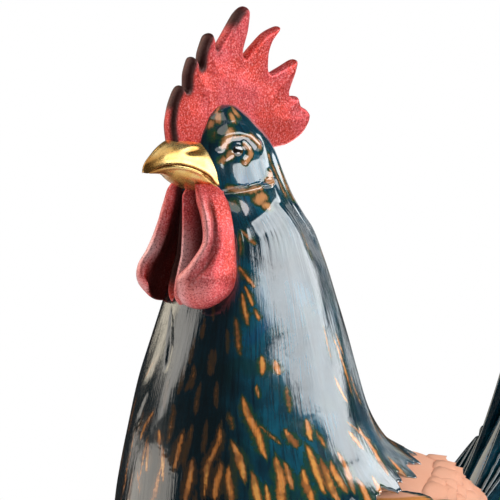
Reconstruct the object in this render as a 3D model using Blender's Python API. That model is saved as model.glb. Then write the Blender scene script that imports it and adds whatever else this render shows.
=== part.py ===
"""A slip-cast porcelain rooster, built casting by casting as a potter would lute it together.

The bird faces -Y and stands on a rocky base whose underside is the ground. +X is the bird's left side.
Each object is one casting. Where two castings meet, the one that was stuck on is cut back from the other's
own form, grown by the thickness of the slip joint, so that every piece stays seated when a size changes.
"""

import math

import bmesh
import bpy
from mathutils import Vector

MM = 0.001

# Joints and walls
JOINT = 0.3 * MM  # slip joint left between two castings
WALL = 4.5 * MM  # cast wall of the hollow pieces

# Base
BASE_LENGTH = 168 * MM
BASE_WIDTH = 132 * MM
BASE_HEIGHT = 27 * MM
BASE_FLOOR = 5 * MM
VENT_DIAMETER = 9 * MM
VENT_OFFSET = 34 * MM

# Trunk, measured from the neck's own axis, which stands in front of the base's centre
NECK_AXIS_Y = -30 * MM
BREAST_REACH = 68 * MM
RUMP_REACH = 138 * MM
TRUNK_WIDTH = 114 * MM
BACK_RISE = 21 * MM  # how far the back stands above the front of the hackle cape
BELLY_HEIGHT = 124 * MM

# Neck and head
CROWN_HEIGHT = 416 * MM
CAPE_HEIGHT = 232 * MM
BACK_HEIGHT = CAPE_HEIGHT + BACK_RISE
CAPE_TILT = math.radians(14)
HACKLE_LOCKS = 24
LOCK_STEP = 1.0 * MM  # how far one tier of hackles stands proud of the next
LOCK_TIP = 5.0 * MM  # how far a lock's tip runs past the notch beside it
JAW_FALL = 56 * MM  # the crown to the lower edge of the face
TIER_FALL = 138 * MM  # the crown to the lower edge of the upper hackles

# Pieces on the head
EYE_DIAMETER = 8.4 * MM
EYE_FALL = 19.5 * MM
EYE_FORWARD = 20 * MM
EYE_SHOWS = 1.0 * MM
COMB_THICKNESS = 10.5 * MM
COMB_EDGE = 3.4 * MM
WATTLE_LENGTH = 64 * MM
WATTLE_THICKNESS = 7.0 * MM

# Wings
WING_LAYERS = 4
WING_LIFT = 4.5 * MM
WING_STEP = 1.8 * MM
WING_TIP_STAND = 21 * MM  # how far the folded tip stays out from the midplane, beside the tail

# Tail
TAIL_SICKLES = 4
SICKLE_THICKNESS = 3.6 * MM
SICKLE_WIDTH = 26 * MM
TAIL_PLATE = 9 * MM

# Legs
STANCE = 52 * MM
HOCK_HEIGHT = 94 * MM
SHANK_DIAMETER = 11 * MM
TOE_LENGTH = 46 * MM
TOE_DIAMETER = 7.6 * MM
SPUR_LENGTH = 11 * MM

FINISHES = {
    "dark_glaze": ((0.010, 0.070, 0.115, 1), 0.10, 0.0),
    "matt_peach": ((0.86, 0.46, 0.31, 1), 0.55, 0.0),
    "red_lustre": ((0.62, 0.055, 0.065, 1), 0.45, 0.35),
    "gilding": ((0.95, 0.62, 0.20, 1), 0.18, 1.0),
    "eye_glaze": ((0.035, 0.014, 0.006, 1), 0.05, 0.0),
    "stone_bisque": ((0.70, 0.62, 0.52, 1), 0.75, 0.0),
}


def finish(name):
    """The named surface finish as a material, made once."""
    found = bpy.data.materials.get(name)
    if found:
        return found
    colour, roughness, metallic = FINISHES[name]
    made = bpy.data.materials.new(name)
    made.use_nodes = True
    shader = made.node_tree.nodes["Principled BSDF"]
    shader.inputs["Base Color"].default_value = colour
    shader.inputs["Roughness"].default_value = roughness
    shader.inputs["Metallic"].default_value = metallic
    made.diffuse_color = colour
    return made


def blend_rows(table, at):
    """Values between the rows of a table of sections, smooth and with no overshoot.

    The first number of each row is where along the form that section stands.
    """
    places = [row[0] for row in table]
    at = min(max(at, places[0]), places[-1])
    low = max(i for i in range(len(table) - 1) if places[i] <= at)
    span = places[low + 1] - places[low]
    share = (at - places[low]) / span

    def slope(row, column):
        if row in (0, len(table) - 1):
            near = row if row == 0 else row - 1
            return (table[near + 1][column] - table[near][column]) / (places[near + 1] - places[near])
        before = (table[row][column] - table[row - 1][column]) / (places[row] - places[row - 1])
        after = (table[row + 1][column] - table[row][column]) / (places[row + 1] - places[row])
        return 0.0 if before * after <= 0 else 2 * before * after / (before + after)

    values = []
    for column in range(1, len(table[0])):
        first, second = table[low][column], table[low + 1][column]
        leave, arrive = slope(low, column) * span, slope(low + 1, column) * span
        cubic = (
            first * (1 + 2 * share) * (1 - share) ** 2
            + leave * share * (1 - share) ** 2
            + second * share**2 * (3 - 2 * share)
            - arrive * share**2 * (1 - share)
        )
        values.append(cubic)
    return values


def add_object(name, mesh, material, smooth_angle=40):
    obj = bpy.data.objects.new(name, mesh)
    bpy.context.scene.collection.objects.link(obj)
    mesh.materials.append(finish(material))
    mesh.shade_smooth()
    mesh.set_sharp_from_angle(angle=math.radians(smooth_angle))
    return obj


def hide_helper(obj):
    obj.hide_render = True
    obj.display_type = "WIRE"
    return obj


def mesh_from(name, points, faces):
    """A mesh with its faces pointing out, whichever way the rings that made it ran."""
    work = bmesh.new()
    corners = [work.verts.new(point) for point in points]
    for face in faces:
        work.faces.new([corners[index] for index in face])
    bmesh.ops.remove_doubles(work, verts=work.verts, dist=1e-6)
    bmesh.ops.recalc_face_normals(work, faces=work.faces)
    mesh = bpy.data.meshes.new(name)
    work.to_mesh(mesh)
    work.free()
    return mesh


def loft(name, rings, start_point=None, end_point=None):
    """A closed body through rings of equal count. An end is a flat cap, or a pole where a point is given.

    Each quad is split along the same diagonal on both sides of the bird, so that a form and the seat cut for
    it, which is the same form grown, keep their gap everywhere.
    """
    count = len(rings[0])
    points = [point for ring in rings for point in ring]
    faces = []
    for row in range(len(rings) - 1):
        for column in range(count):
            after = (column + 1) % count
            low, high = row * count, (row + 1) * count
            if column % 2:
                column, after = after, column
            faces.append((low + column, low + after, high + after))
            faces.append((low + column, high + after, high + column))
    last = (len(rings) - 1) * count
    for pole, first in ((start_point, 0), (end_point, last)):
        if pole is None:
            faces.append(tuple(range(first, first + count)))
            continue
        points.append(pole)
        tip = len(points) - 1
        faces.extend((first + column, first + (column + 1) % count, tip) for column in range(count))
    return mesh_from(name, points, faces)


def slab(name, outer, inner):
    """A closed body between two sheets of points, both given as rows of equal length."""
    rows, columns = len(outer), len(outer[0])
    points = [point for row in outer for point in row] + [point for row in inner for point in row]
    shift = rows * columns

    def at(row, column, side):
        return side * shift + row * columns + column

    faces = []
    for row in range(rows - 1):
        for column in range(columns - 1):
            for side in (0, 1):
                faces.append(
                    (
                        at(row, column, side),
                        at(row, column + 1, side),
                        at(row + 1, column + 1, side),
                        at(row + 1, column, side),
                    )
                )
    for row in range(rows - 1):
        for column in (0, columns - 1):
            corners = ((row, column, 0), (row + 1, column, 0), (row + 1, column, 1), (row, column, 1))
            faces.append(tuple(at(*corner) for corner in corners))
    for column in range(columns - 1):
        for row in (0, rows - 1):
            corners = ((row, column, 0), (row, column + 1, 0), (row, column + 1, 1), (row, column, 1))
            faces.append(tuple(at(*corner) for corner in corners))
    return mesh_from(name, points, faces)


def boolean(obj, other, operation="DIFFERENCE"):
    modifier = obj.modifiers.new(f"{operation.lower()} {other.name}", "BOOLEAN")
    modifier.operation = operation
    modifier.solver = "EXACT"
    modifier.object = other
    return obj


def cutter(name, mesh):
    obj = bpy.data.objects.new(name, mesh)
    bpy.context.scene.collection.objects.link(obj)
    return hide_helper(obj)


# Neck and head: a column of egg-shaped sections from the crown down to the hem of the hackle cape.
# Each row holds the fall below the crown, then half width, reach forward and reach back, all in millimetres.
HEAD_SECTIONS = [
    (0.0, 3.0, 12.5, -7.0),
    (2.5, 7.5, 20.0, -2.0),
    (7.0, 11.8, 26.0, 2.5),
    (13.0, 15.4, 30.5, 5.5),
    (21.0, 18.0, 33.5, 9.0),
    (31.0, 20.6, 34.5, 13.5),
    (41.0, 23.0, 34.0, 18.5),
    (50.0, 25.8, 32.5, 25.0),
    (57.0, 27.3, 31.5, 29.5),
]
# Each row holds the share of the way from the jaw to the hem, then half width, reaches and share of the tilt.
NECK_SECTIONS = [
    (0.00, 27.3, 31.5, 29.5, 0.0),
    (0.09, 31.3, 34.0, 34.0, 0.0),
    (0.26, 38.6, 40.5, 40.5, 0.0),
    (0.39, 43.6, 45.5, 45.0, 0.0),
    (0.52, 48.6, 51.0, 49.0, 0.1),
    (0.66, 53.6, 55.5, 54.0, 0.3),
    (0.80, 58.2, 59.6, 62.5, 0.6),
    (0.90, 61.2, 62.4, 74.0, 0.85),
    (1.00, 63.2, 64.4, 89.0, 1.0),
]
NECK_LENGTH = CROWN_HEIGHT - CAPE_HEIGHT - JAW_FALL


def neck_section(fall):
    """Axis point, half width, reach forward, reach back and tilt of the section that far below the crown."""
    if fall <= JAW_FALL:
        share = fall / JAW_FALL * HEAD_SECTIONS[-1][0]
        width, front, back = blend_rows(HEAD_SECTIONS, share)
        tilt = 0.0
    else:
        width, front, back, tilt = blend_rows(NECK_SECTIONS, (fall - JAW_FALL) / NECK_LENGTH)
    return width * MM, front * MM, back * MM, tilt * CAPE_TILT


def neck_point(turn, fall, lift=0.0):
    """A point of the head or neck. The turn is 0 at the front and a quarter turn at the bird's left side."""
    width, front, back, tilt = neck_section(fall)
    middle = (back - front) / 2
    depth = (back + front) / 2
    reach = -math.cos(turn) * (depth + lift)
    across = math.sin(turn) * (width + lift)
    return Vector(
        (
            across,
            NECK_AXIS_Y + (middle + reach) * math.cos(tilt),
            CROWN_HEIGHT - fall + (middle + reach) * math.sin(tilt),
        )
    )


def lock_wave(turn, parity):
    """+1 along the middle of each hackle lock and -1 in the groove between two locks."""
    return math.cos(turn * HACKLE_LOCKS + parity * math.pi)


def hem_fall(turn, edge, parity, tip=LOCK_TIP):
    """How far below the crown a tier of locks ends, with its pointed tips."""
    return edge + tip * lock_wave(turn, parity)


def jaw_edge(turn):
    """The face's lower edge climbs towards the nape, where head and neck run into each other."""
    return JAW_FALL - 11 * MM * (0.5 - 0.5 * math.cos(turn)) ** 2


def neck_rings(columns, grow=0.0):
    """Rings from the crown to the hem: the face, then two tiers of hackles, the upper over the lower."""
    turns = [2 * math.pi * column / columns for column in range(columns)]
    rings = []

    def add_ring(fall_at, lift_at):
        rings.append([neck_point(turn, fall_at(turn), grow + lift_at(turn)) for turn in turns])

    for share in (0.03, 0.10, 0.22, 0.36, 0.52, 0.68, 0.84):
        add_ring(lambda turn: jaw_edge(turn) * share, lambda turn: 0.0)
    add_ring(jaw_edge, lambda turn: LOCK_STEP * (0.5 + 0.5 * math.cos(turn)) ** 0.5)
    tiers = (
        (
            lambda turn: jaw_edge(turn) + 2 * MM,
            lambda turn: hem_fall(turn, TIER_FALL, 0),
            0,
            (0.0, 0.18, 0.4, 0.65, 0.85, 1.0),
        ),
        (
            lambda turn: hem_fall(turn, TIER_FALL, 0) + 1 * MM,
            lambda turn: hem_fall(turn, CROWN_HEIGHT - CAPE_HEIGHT - LOCK_TIP, 1),
            1,
            (0.0, 0.3, 0.65, 1.0),
        ),
    )
    for top, hem, parity, shares in tiers:
        for share in shares:
            add_ring(
                lambda turn: top(turn) + (hem(turn) - top(turn)) * share,
                lambda turn: share * LOCK_STEP * (1 + 0.8 * lock_wave(turn, parity)),
            )
    return rings


def crown_pole(grow=0.0):
    width, front, back, _ = neck_section(0.0)
    return Vector((0, NECK_AXIS_Y + (back - front) / 2, CROWN_HEIGHT + grow))


def build_neck():
    """The hollow casting of head and neck. Its cavity is open at the hem, where the slip was poured out."""
    columns = 2 * HACKLE_LOCKS
    outer = neck_rings(columns)
    turns = [2 * math.pi * column / columns for column in range(columns)]
    hem = CROWN_HEIGHT - CAPE_HEIGHT - LOCK_TIP
    cavity_top = JAW_FALL - 12 * MM
    inner = []
    for share in (1.0, 0.8, 0.55, 0.3, 0.1):
        fall = cavity_top + (hem - cavity_top) * share
        inner.append(
            [
                neck_point(turn, fall + (LOCK_TIP * lock_wave(turn, 1) if share == 1.0 else 0.0), -WALL)
                for turn in turns
            ]
        )
    roof = neck_point(0, cavity_top, -WALL)
    roof_centre = Vector((0, NECK_AXIS_Y, roof.z))
    rings = outer + inner
    mesh = loft("neck_and_head", rings, start_point=crown_pole(), end_point=roof_centre)
    return add_object("neck_and_head", mesh, "dark_glaze", smooth_angle=50)


def neck_plug(name, grow):
    """The neck's outer form as a plain solid, closed across its ragged hem, to cut a seat for it."""
    columns = 2 * HACKLE_LOCKS
    rings = neck_rings(columns, grow)
    turns = [2 * math.pi * column / columns for column in range(columns)]
    hem = CROWN_HEIGHT - CAPE_HEIGHT - LOCK_TIP
    rings.append(
        [
            neck_point(turn, hem_fall(turn, hem, 1) + grow, grow + LOCK_STEP * (1 + 0.8 * lock_wave(turn, 1)))
            for turn in turns
        ]
    )
    _, front, back, tilt = neck_section(hem)
    centre, fall = (back - front) / 2, hem + 2 * LOCK_TIP + grow
    middle = Vector((0, NECK_AXIS_Y + centre * math.cos(tilt), CROWN_HEIGHT - fall + centre * math.sin(tilt)))
    return cutter(name, loft(name, rings, start_point=crown_pole(grow), end_point=middle))


# Trunk: sections across the body, from the breast back to the rump.
# Each row holds the share of the length, the share of the width, and the shares of the depth taken
# by the back and by the belly, both measured from the middle of the body.
TRUNK_SECTIONS = [
    (0.000, 0.10, 0.30, 0.02),
    (0.030, 0.42, 0.50, 0.30),
    (0.100, 0.70, 0.68, 0.62),
    (0.220, 0.91, 0.86, 0.88),
    (0.380, 1.00, 0.97, 1.00),
    (0.560, 0.98, 1.00, 0.97),
    (0.720, 0.86, 0.99, 0.74),
    (0.800, 0.76, 0.96, 0.56),
    (0.880, 0.62, 0.83, 0.34),
    (0.960, 0.44, 0.66, 0.06),
    (1.000, 0.30, 0.56, -0.10),
]
TRUNK_SQUARENESS = 2.35
TRUNK_START = NECK_AXIS_Y - BREAST_REACH
TRUNK_LENGTH = BREAST_REACH + RUMP_REACH
TRUNK_MIDDLE = (BACK_HEIGHT + BELLY_HEIGHT) / 2
TRUNK_HALF_DEPTH = (BACK_HEIGHT - BELLY_HEIGHT) / 2


def trunk_ring(share, count, grow=0.0):
    width, up, down = blend_rows(TRUNK_SECTIONS, share)
    top = TRUNK_MIDDLE + up * TRUNK_HALF_DEPTH
    bottom = TRUNK_MIDDLE - down * TRUNK_HALF_DEPTH
    middle, half_height = (top + bottom) / 2, (top - bottom) / 2 + grow
    half_width = width * TRUNK_WIDTH / 2 + grow
    power = 2 / TRUNK_SQUARENESS
    ring = []
    for step in range(count):
        turn = 2 * math.pi * step / count
        sine, cosine = math.sin(turn), math.cos(turn)
        ring.append(
            Vector(
                (
                    math.copysign(abs(sine) ** power, sine) * half_width,
                    TRUNK_START + share * TRUNK_LENGTH + (2 * share - 1) * grow,
                    middle + math.copysign(abs(cosine) ** power, cosine) * half_height,
                )
            )
        )
    return ring


def trunk_mesh(name, grow=0.0, count=24, stations=13):
    rings = []
    for step in range(stations + 1):
        share = step / stations
        rings.append(trunk_ring(0.5 - 0.5 * math.cos(math.pi * share) if step else 0.0, count, grow))
    front = sum(rings[0], Vector()) / count - Vector((0, 2 * MM + grow, 0))
    rear = sum(rings[-1], Vector()) / count + Vector((0, 3 * MM + grow, 0))
    return loft(name, rings, start_point=front, end_point=rear)


def build_trunk():
    """The hollow body casting, open on top where the neck's casting is luted on."""
    trunk = add_object("trunk", trunk_mesh("trunk"), "matt_peach")
    core_rings = [trunk_ring(share, 20, -WALL) for share in (0.10, 0.2, 0.35, 0.5, 0.65, 0.78, 0.88)]
    boolean(trunk, cutter("trunk_core", loft("trunk_core", core_rings)))
    boolean(trunk, neck_plug("neck_seat_in_trunk", JOINT))
    return trunk


def trunk_cutter(name):
    return cutter(name, trunk_mesh(name, grow=JOINT))


# Wings: tiers of feathers laid over the trunk's own flank.
# Each tier holds where the quill of its upper and of its lower feather starts, then where their tips end,
# all as shares of the trunk's length and of its depth.
WING_FEATHER_COUNTS = (6, 8, 7, 6)
WING_TIERS = [
    ((0.578, 0.868), (0.618, 0.403), (1.059, 0.651), (0.873, 0.326)),
    ((0.441, 0.915), (0.431, 0.295), (0.922, 0.791), (0.755, 0.264)),
    ((0.304, 0.922), (0.284, 0.326), (0.647, 0.884), (0.539, 0.264)),
    ((0.196, 0.868), (0.176, 0.481), (0.422, 0.915), (0.333, 0.310)),
]


def flank_point(reach, height, lift, side, least=0.0):
    """A point on the trunk's side, lifted off along the surface. The reach runs back from the neck's axis."""

    def surface(reach_at, height_at):
        share = (reach_at + BREAST_REACH) / TRUNK_LENGTH
        width, up, down = blend_rows(TRUNK_SECTIONS, share)
        top = TRUNK_MIDDLE + up * TRUNK_HALF_DEPTH
        bottom = TRUNK_MIDDLE - down * TRUNK_HALF_DEPTH
        off = min(0.96, abs(height_at - (top + bottom) / 2) / ((top - bottom) / 2))
        x = width * TRUNK_WIDTH / 2 * (1 - off**TRUNK_SQUARENESS) ** (1 / TRUNK_SQUARENESS)
        return Vector((x, NECK_AXIS_Y + reach_at, height_at))

    here = surface(reach, height)
    along = surface(reach + MM, height) - surface(reach - MM, height)
    up = surface(reach, height + MM) - surface(reach, height - MM)
    normal = along.cross(up).normalized()
    point = here + normal * lift
    return Vector((max(point.x, least) * side, point.y, point.z))


def wing_tier(name, layer, side, rows=4):
    """One tier of overlapping feathers as a block, ridged along each quill and scalloped at its tips."""
    feathers = WING_FEATHER_COUNTS[layer]
    top_root, low_root, top_tip, low_tip = WING_TIERS[layer]
    columns = feathers * 2
    lift = WING_LIFT + layer * WING_STEP
    outer, inner = [], []
    for row in range(rows + 1):
        along = row / rows
        outer_row, inner_row = [], []
        for column in range(columns + 1):
            across = column / columns
            wave = -math.cos(2 * math.pi * across * feathers)
            bow = math.sin(math.pi * across)
            start = top_root[0] + (low_root[0] - top_root[0]) * across - 0.03 * bow
            end = top_tip[0] + (low_tip[0] - top_tip[0]) * across + 0.025 * bow
            reach = (start + (end - start) * along + 0.02 * wave * along**3) * TRUNK_LENGTH - BREAST_REACH
            root = top_root[1] + (low_root[1] - top_root[1]) * across
            tip = top_tip[1] + (low_tip[1] - top_tip[1]) * across
            height = BELLY_HEIGHT + (root + (tip - root) * along) * (BACK_HEIGHT - BELLY_HEIGHT)
            ridge = 0.55 * MM * wave * min(1.0, 2 * along)
            rim = min(1.0, 5 * min(across, 1 - across) + 0.4)
            rise = (lift + ridge + 0.8 * MM * along) * rim
            sink = -(1.0 + 0.2 * layer) * MM
            outer_row.append(flank_point(reach, height, rise, side, WING_TIP_STAND + WING_LIFT))
            inner_row.append(flank_point(reach, height, sink, side, WING_TIP_STAND - layer * 0.1 * MM))
        outer.append(outer_row)
        inner.append(inner_row)
    return slab(name, outer, inner)


def build_wing(label, side):
    """One wing casting: four tiers joined, with a back that follows the trunk."""
    name = f"{label}_wing"
    wing = add_object(name, wing_tier(name, 0, side), "matt_peach")
    for layer in range(1, WING_LAYERS):
        tier = cutter(f"{name}_tier_{layer}", wing_tier(f"{name}_tier_{layer}", layer, side))
        boolean(wing, tier, "UNION")
    return wing


# Beak: how far each section stands in front of the neck's axis, then its ridge and its mouth line, or its
# mouth line and its underside, as heights counted up from the crown, and the half width, in millimetres.
UPPER_BEAK = [
    (22.0, -14.9, -35.6, 13.4),
    (29.5, -14.5, -34.2, 12.9),
    (33.0, -14.1, -30.3, 12.5),
    (37.0, -13.7, -27.8, 11.5),
    (43.0, -13.3, -25.4, 9.8),
    (48.0, -14.8, -24.4, 8.0),
    (52.0, -17.2, -24.5, 6.1),
    (56.0, -20.7, -25.0, 3.9),
    (59.2, -24.0, -25.8, 1.7),
]
LOWER_BEAK = [
    (22.0, -36.1, -39.4, 12.8),
    (29.5, -34.7, -38.3, 12.3),
    (33.0, -30.8, -37.4, 11.9),
    (37.0, -28.3, -36.2, 10.9),
    (43.0, -25.9, -34.2, 9.2),
    (48.0, -24.9, -32.0, 7.3),
    (51.5, -25.1, -30.0, 5.2),
    (54.8, -25.7, -27.9, 2.6),
]
# The tips of the two halves and the middle of a nostril, as reach and height.
UPPER_TIP = (60.4, -26.0)
LOWER_TIP = (56.4, -26.4)
NOSTRIL = (38.6, -18.8)
NOSTRIL_OUT = 6.7


def beak_rings(table, grow=0.0, downward=False, half=10):
    rings = []
    for reach, first, second, width in table:
        top, bottom = (first, second)
        rise, base = (bottom - top, top) if downward else (top - bottom, bottom)
        ring = []
        for step in range(half):
            turn = math.pi * step / (half - 1)
            cosine, sine = math.cos(turn), math.sin(turn)
            across = math.copysign(abs(cosine) ** 1.3, cosine) * width
            ring.append(
                Vector(
                    (
                        across * MM + math.copysign(grow, cosine) * (abs(cosine) > 0.01),
                        NECK_AXIS_Y - reach * MM,
                        CROWN_HEIGHT
                        + (base + rise * sine**1.3) * MM
                        + (math.copysign(grow, rise) if step not in (0, half - 1) else 0),
                    )
                )
            )
        rings.append(ring)
    return rings


def beak_tip(place):
    """A point of the midplane, given as reach in front of the neck's axis and height up from the crown."""
    return Vector((0, NECK_AXIS_Y - place[0] * MM, CROWN_HEIGHT + place[1] * MM))


def build_beak():
    tip = beak_tip(UPPER_TIP)
    upper = add_object("upper_beak", loft("upper_beak", beak_rings(UPPER_BEAK), end_point=tip), "gilding")
    chin = beak_tip(LOWER_TIP)
    lower_rings = beak_rings(LOWER_BEAK, downward=True)
    lower = add_object("lower_beak", loft("lower_beak", lower_rings, end_point=chin), "gilding")
    for side in (1, -1):
        nostril = bmesh.new()
        bmesh.ops.create_uvsphere(nostril, u_segments=12, v_segments=8, radius=1.0)
        for vertex in nostril.verts:
            stretched = Vector((vertex.co.x * 1.5, vertex.co.y * 4.2, vertex.co.z * 1.3)) * MM
            vertex.co = stretched + beak_tip(NOSTRIL) + Vector((side * NOSTRIL_OUT * MM, 0, 0))
        mesh = bpy.data.meshes.new(f"nostril_{side}")
        nostril.to_mesh(mesh)
        nostril.free()
        boolean(upper, cutter(f"nostril_{side}", mesh))
    return upper, lower


# Comb: its outline as reach back from the neck's axis and height, from the forehead over the six points to
# the lobe behind the skull, each with the place inside the skull that it springs from.
COMB_OUTLINE = [
    ((-45.6, -20.0), (-38, -24)),
    ((-47.4, -13.5), (-36, -22)),
    ((-48.0, -7.0), (-34, -20)),
    ((-46.4, 1.0), (-33, -19)),
    ((-43.6, 7.4), (-32, -18)),
    ((-41.2, 10.0), (-31, -17)),
    ((-39.2, 6.8), (-30, -16)),
    ((-38.2, 8.2), (-29, -16)),
    ((-38.2, 15.0), (-28, -15)),
    ((-34.8, 22.2), (-27, -15)),
    ((-31.6, 20.2), (-26, -14)),
    ((-30.2, 17.4), (-25, -14)),
    ((-29.8, 24.0), (-24, -14)),
    ((-25.8, 31.4), (-23, -14)),
    ((-23.4, 32.4), (-22, -14)),
    ((-21.6, 29.4), (-21, -14)),
    ((-20.9, 25.2), (-20, -14)),
    ((-15.6, 31.0), (-18, -14)),
    ((-8.4, 40.6), (-16, -14)),
    ((-3.4, 44.0), (-14, -14)),
    ((-1.4, 41.2), (-12, -14)),
    ((-2.4, 33.0), (-11, -14)),
    ((-5.4, 22.2), (-10, -14)),
    ((0.4, 25.8), (-8, -15)),
    ((7.4, 32.2), (-7, -15)),
    ((15.6, 35.0), (-6, -16)),
    ((13.4, 30.4), (-5, -16)),
    ((8.8, 23.6), (-4, -17)),
    ((8.5, 14.6), (-3, -18)),
    ((15.4, 16.4), (-2, -19)),
    ((25.8, 19.9), (-1, -20)),
    ((24.6, 13.6), (0, -21)),
    ((21.2, 5.0), (1, -22)),
    ((26.4, 3.4), (2, -23)),
    ((28.4, -1.4), (3, -24)),
    ((33.4, -3.4), (4, -25)),
    ((33.0, -8.4), (4, -27)),
    ((28.0, -14.4), (4, -29)),
    ((19.6, -18.1), (3, -31)),
    ((10.0, -19.4), (1, -32)),
]
COMB_PROFILE = [(0.0, 1.0), (0.5, 0.95), (0.92, 0.6), (1.0, 0.24)]


def comb_wave(reach):
    return 0.7 * MM * math.sin(reach / 9.0)


def build_comb():
    outer, inner = [], []
    for share, thick in COMB_PROFILE:
        left, right = [], []
        for (reach, height), (root_reach, root_height) in COMB_OUTLINE:
            y = root_reach + (reach - root_reach) * share
            z = root_height + (height - root_height) * share
            half = max(COMB_THICKNESS * thick, COMB_EDGE * min(1.0, thick * 1.6)) / 2
            sway = comb_wave(y) * min(1.0, max(0.0, (z + 16) / 30))
            left.append(Vector((sway + half, NECK_AXIS_Y + y * MM, CROWN_HEIGHT + z * MM)))
            right.append(Vector((sway - half, NECK_AXIS_Y + y * MM, CROWN_HEIGHT + z * MM)))
        outer.append(left)
        inner.append(right)
    return add_object("comb", slab("comb", outer, inner), "red_lustre")


# Wattles: the middle line as distance from the midplane, reach forward of the neck's axis and height, then
# half the width of the lobe, in millimetres.
WATTLE_LINE = [
    (0.00, 10.5, 31.0, -35.5, 6.0),
    (0.14, 12.2, 33.0, -41.0, 8.4),
    (0.34, 16.0, 35.5, -50.0, 9.0),
    (0.56, 20.4, 36.4, -64.0, 10.2),
    (0.76, 22.6, 36.8, -76.0, 11.0),
    (0.90, 22.6, 37.4, -86.0, 8.8),
    (0.97, 22.2, 37.8, -90.6, 5.4),
]


def wattle_rings(side, count=12):
    top = WATTLE_LINE[0][3]
    stretch = WATTLE_LENGTH / (64.0 * MM)
    rings = []
    for step in range(11):
        share = WATTLE_LINE[-1][0] * step / 10
        out, reach, height, half = blend_rows(WATTLE_LINE, share)
        height = top + (height - top) * stretch
        thick = WATTLE_THICKNESS / 2 / MM * min(1.0, half / 8.0)
        ring = []
        for index in range(count):
            turn = 2 * math.pi * index / count
            across, along = math.sin(turn) * thick, math.cos(turn) * half
            ring.append(
                Vector(
                    (
                        side * (out + across - along * 0.18) * MM,
                        NECK_AXIS_Y - (reach + along) * MM,
                        CROWN_HEIGHT + height * MM,
                    )
                )
            )
        rings.append(ring)
    end = sum(rings[-1], Vector()) / count - Vector((0, 0, 2.2 * MM))
    return rings, end


def build_wattle(label, side):
    rings, end = wattle_rings(side)
    name = f"{label}_wattle"
    return add_object(name, loft(name, rings, end_point=end), "red_lustre")


# The fold of skin under the chin, between the wattles: height, half width and reach forward.
CHIN_FOLD = [
    (-33.0, 5.0, 39.0),
    (-39.0, 6.4, 42.0),
    (-52.0, 8.0, 41.5),
    (-66.0, 10.0, 42.5),
    (-78.0, 11.2, 45.0),
    (-86.0, 9.2, 47.0),
    (-89.5, 6.0, 47.6),
]


def build_chin_fold():
    """A hanging fold with two pleats, thick enough behind to meet the throat."""
    outer, inner = [], []
    for height, half, reach in CHIN_FOLD:
        front, back = [], []
        for column in range(14):
            across = -1 + column / 6.5
            pleat = 1.7 * math.cos(across * math.pi * 2)
            z = CROWN_HEIGHT + height * MM
            front.append(Vector((across * half * MM, NECK_AXIS_Y - (reach + pleat) * MM, z)))
            back.append(Vector((across * half * MM, NECK_AXIS_Y - (reach - 13) * MM, z)))
        outer.append(front)
        inner.append(back)
    return add_object("chin_fold", slab("chin_fold", outer, inner), "red_lustre")


def eye_sphere(name, side, grow=0.0):
    radius = EYE_DIAMETER / 2
    width, front, back, _ = neck_section(EYE_FALL)
    middle, depth = (back - front) / 2, (back + front) / 2
    turn = math.acos((EYE_FORWARD + middle) / depth)
    work = bmesh.new()
    bmesh.ops.create_uvsphere(work, u_segments=14, v_segments=8, radius=radius + grow)
    seat = neck_point(turn, EYE_FALL, EYE_SHOWS - radius)
    bmesh.ops.translate(work, verts=work.verts, vec=Vector((seat.x * side, seat.y, seat.z)))
    mesh = bpy.data.meshes.new(name)
    work.to_mesh(mesh)
    work.free()
    return mesh


# Tail: a fan of upright feathers between two stacks of sickle feathers. Its points are counted back from the
# end of the rump and up from the top of the back, in millimetres.
TAIL_Y = NECK_AXIS_Y + RUMP_REACH
FAN_ROOT = (-16, -49)
# The upper and the lower feather of the fan: its angle above the level and its length.
FAN_TOP = (56, 160)
FAN_LOW = (4, 118)
FAN_FEATHERS = 7


def build_tail_fan():
    outer, inner = [], []
    columns = FAN_FEATHERS * 2
    for row in range(7):
        along = row / 6
        left, right = [], []
        for column in range(columns + 1):
            across = column / columns
            wave = -math.cos(2 * math.pi * across * FAN_FEATHERS)
            angle = math.radians(FAN_TOP[0] + (FAN_LOW[0] - FAN_TOP[0]) * across)
            length = FAN_TOP[1] + (FAN_LOW[1] - FAN_TOP[1]) * across
            far = 12 + (length - 12 + 6 * wave) * along
            half = TAIL_PLATE / 2 * (1 - 0.35 * along) + 0.5 * MM * wave * along * (1 - 0.3 * along)
            half = min(half, TAIL_PLATE / 2)
            y = TAIL_Y + (FAN_ROOT[0] + far * math.cos(angle)) * MM
            z = BACK_HEIGHT + (FAN_ROOT[1] + far * math.sin(angle)) * MM
            left.append(Vector((half, y, z)))
            right.append(Vector((-half, y, z)))
        outer.append(left)
        inner.append(right)
    return add_object("tail_fan", slab("tail_fan", outer, inner), "dark_glaze")


# Each sickle's four guide points, and its share of the widest sickle's width.
SICKLES = [
    ((-4, -41), (67, 32), (74, 217), (142, 32), 1.0),
    ((-6, -42), (60, 17), (94, 149), (126, -13), 0.95),
    ((-10, -43), (50, 3), (82, 87), (100, -53), 0.9),
    ((-16, -44), (36, -11), (62, 35), (70, -85), 0.85),
]


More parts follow.
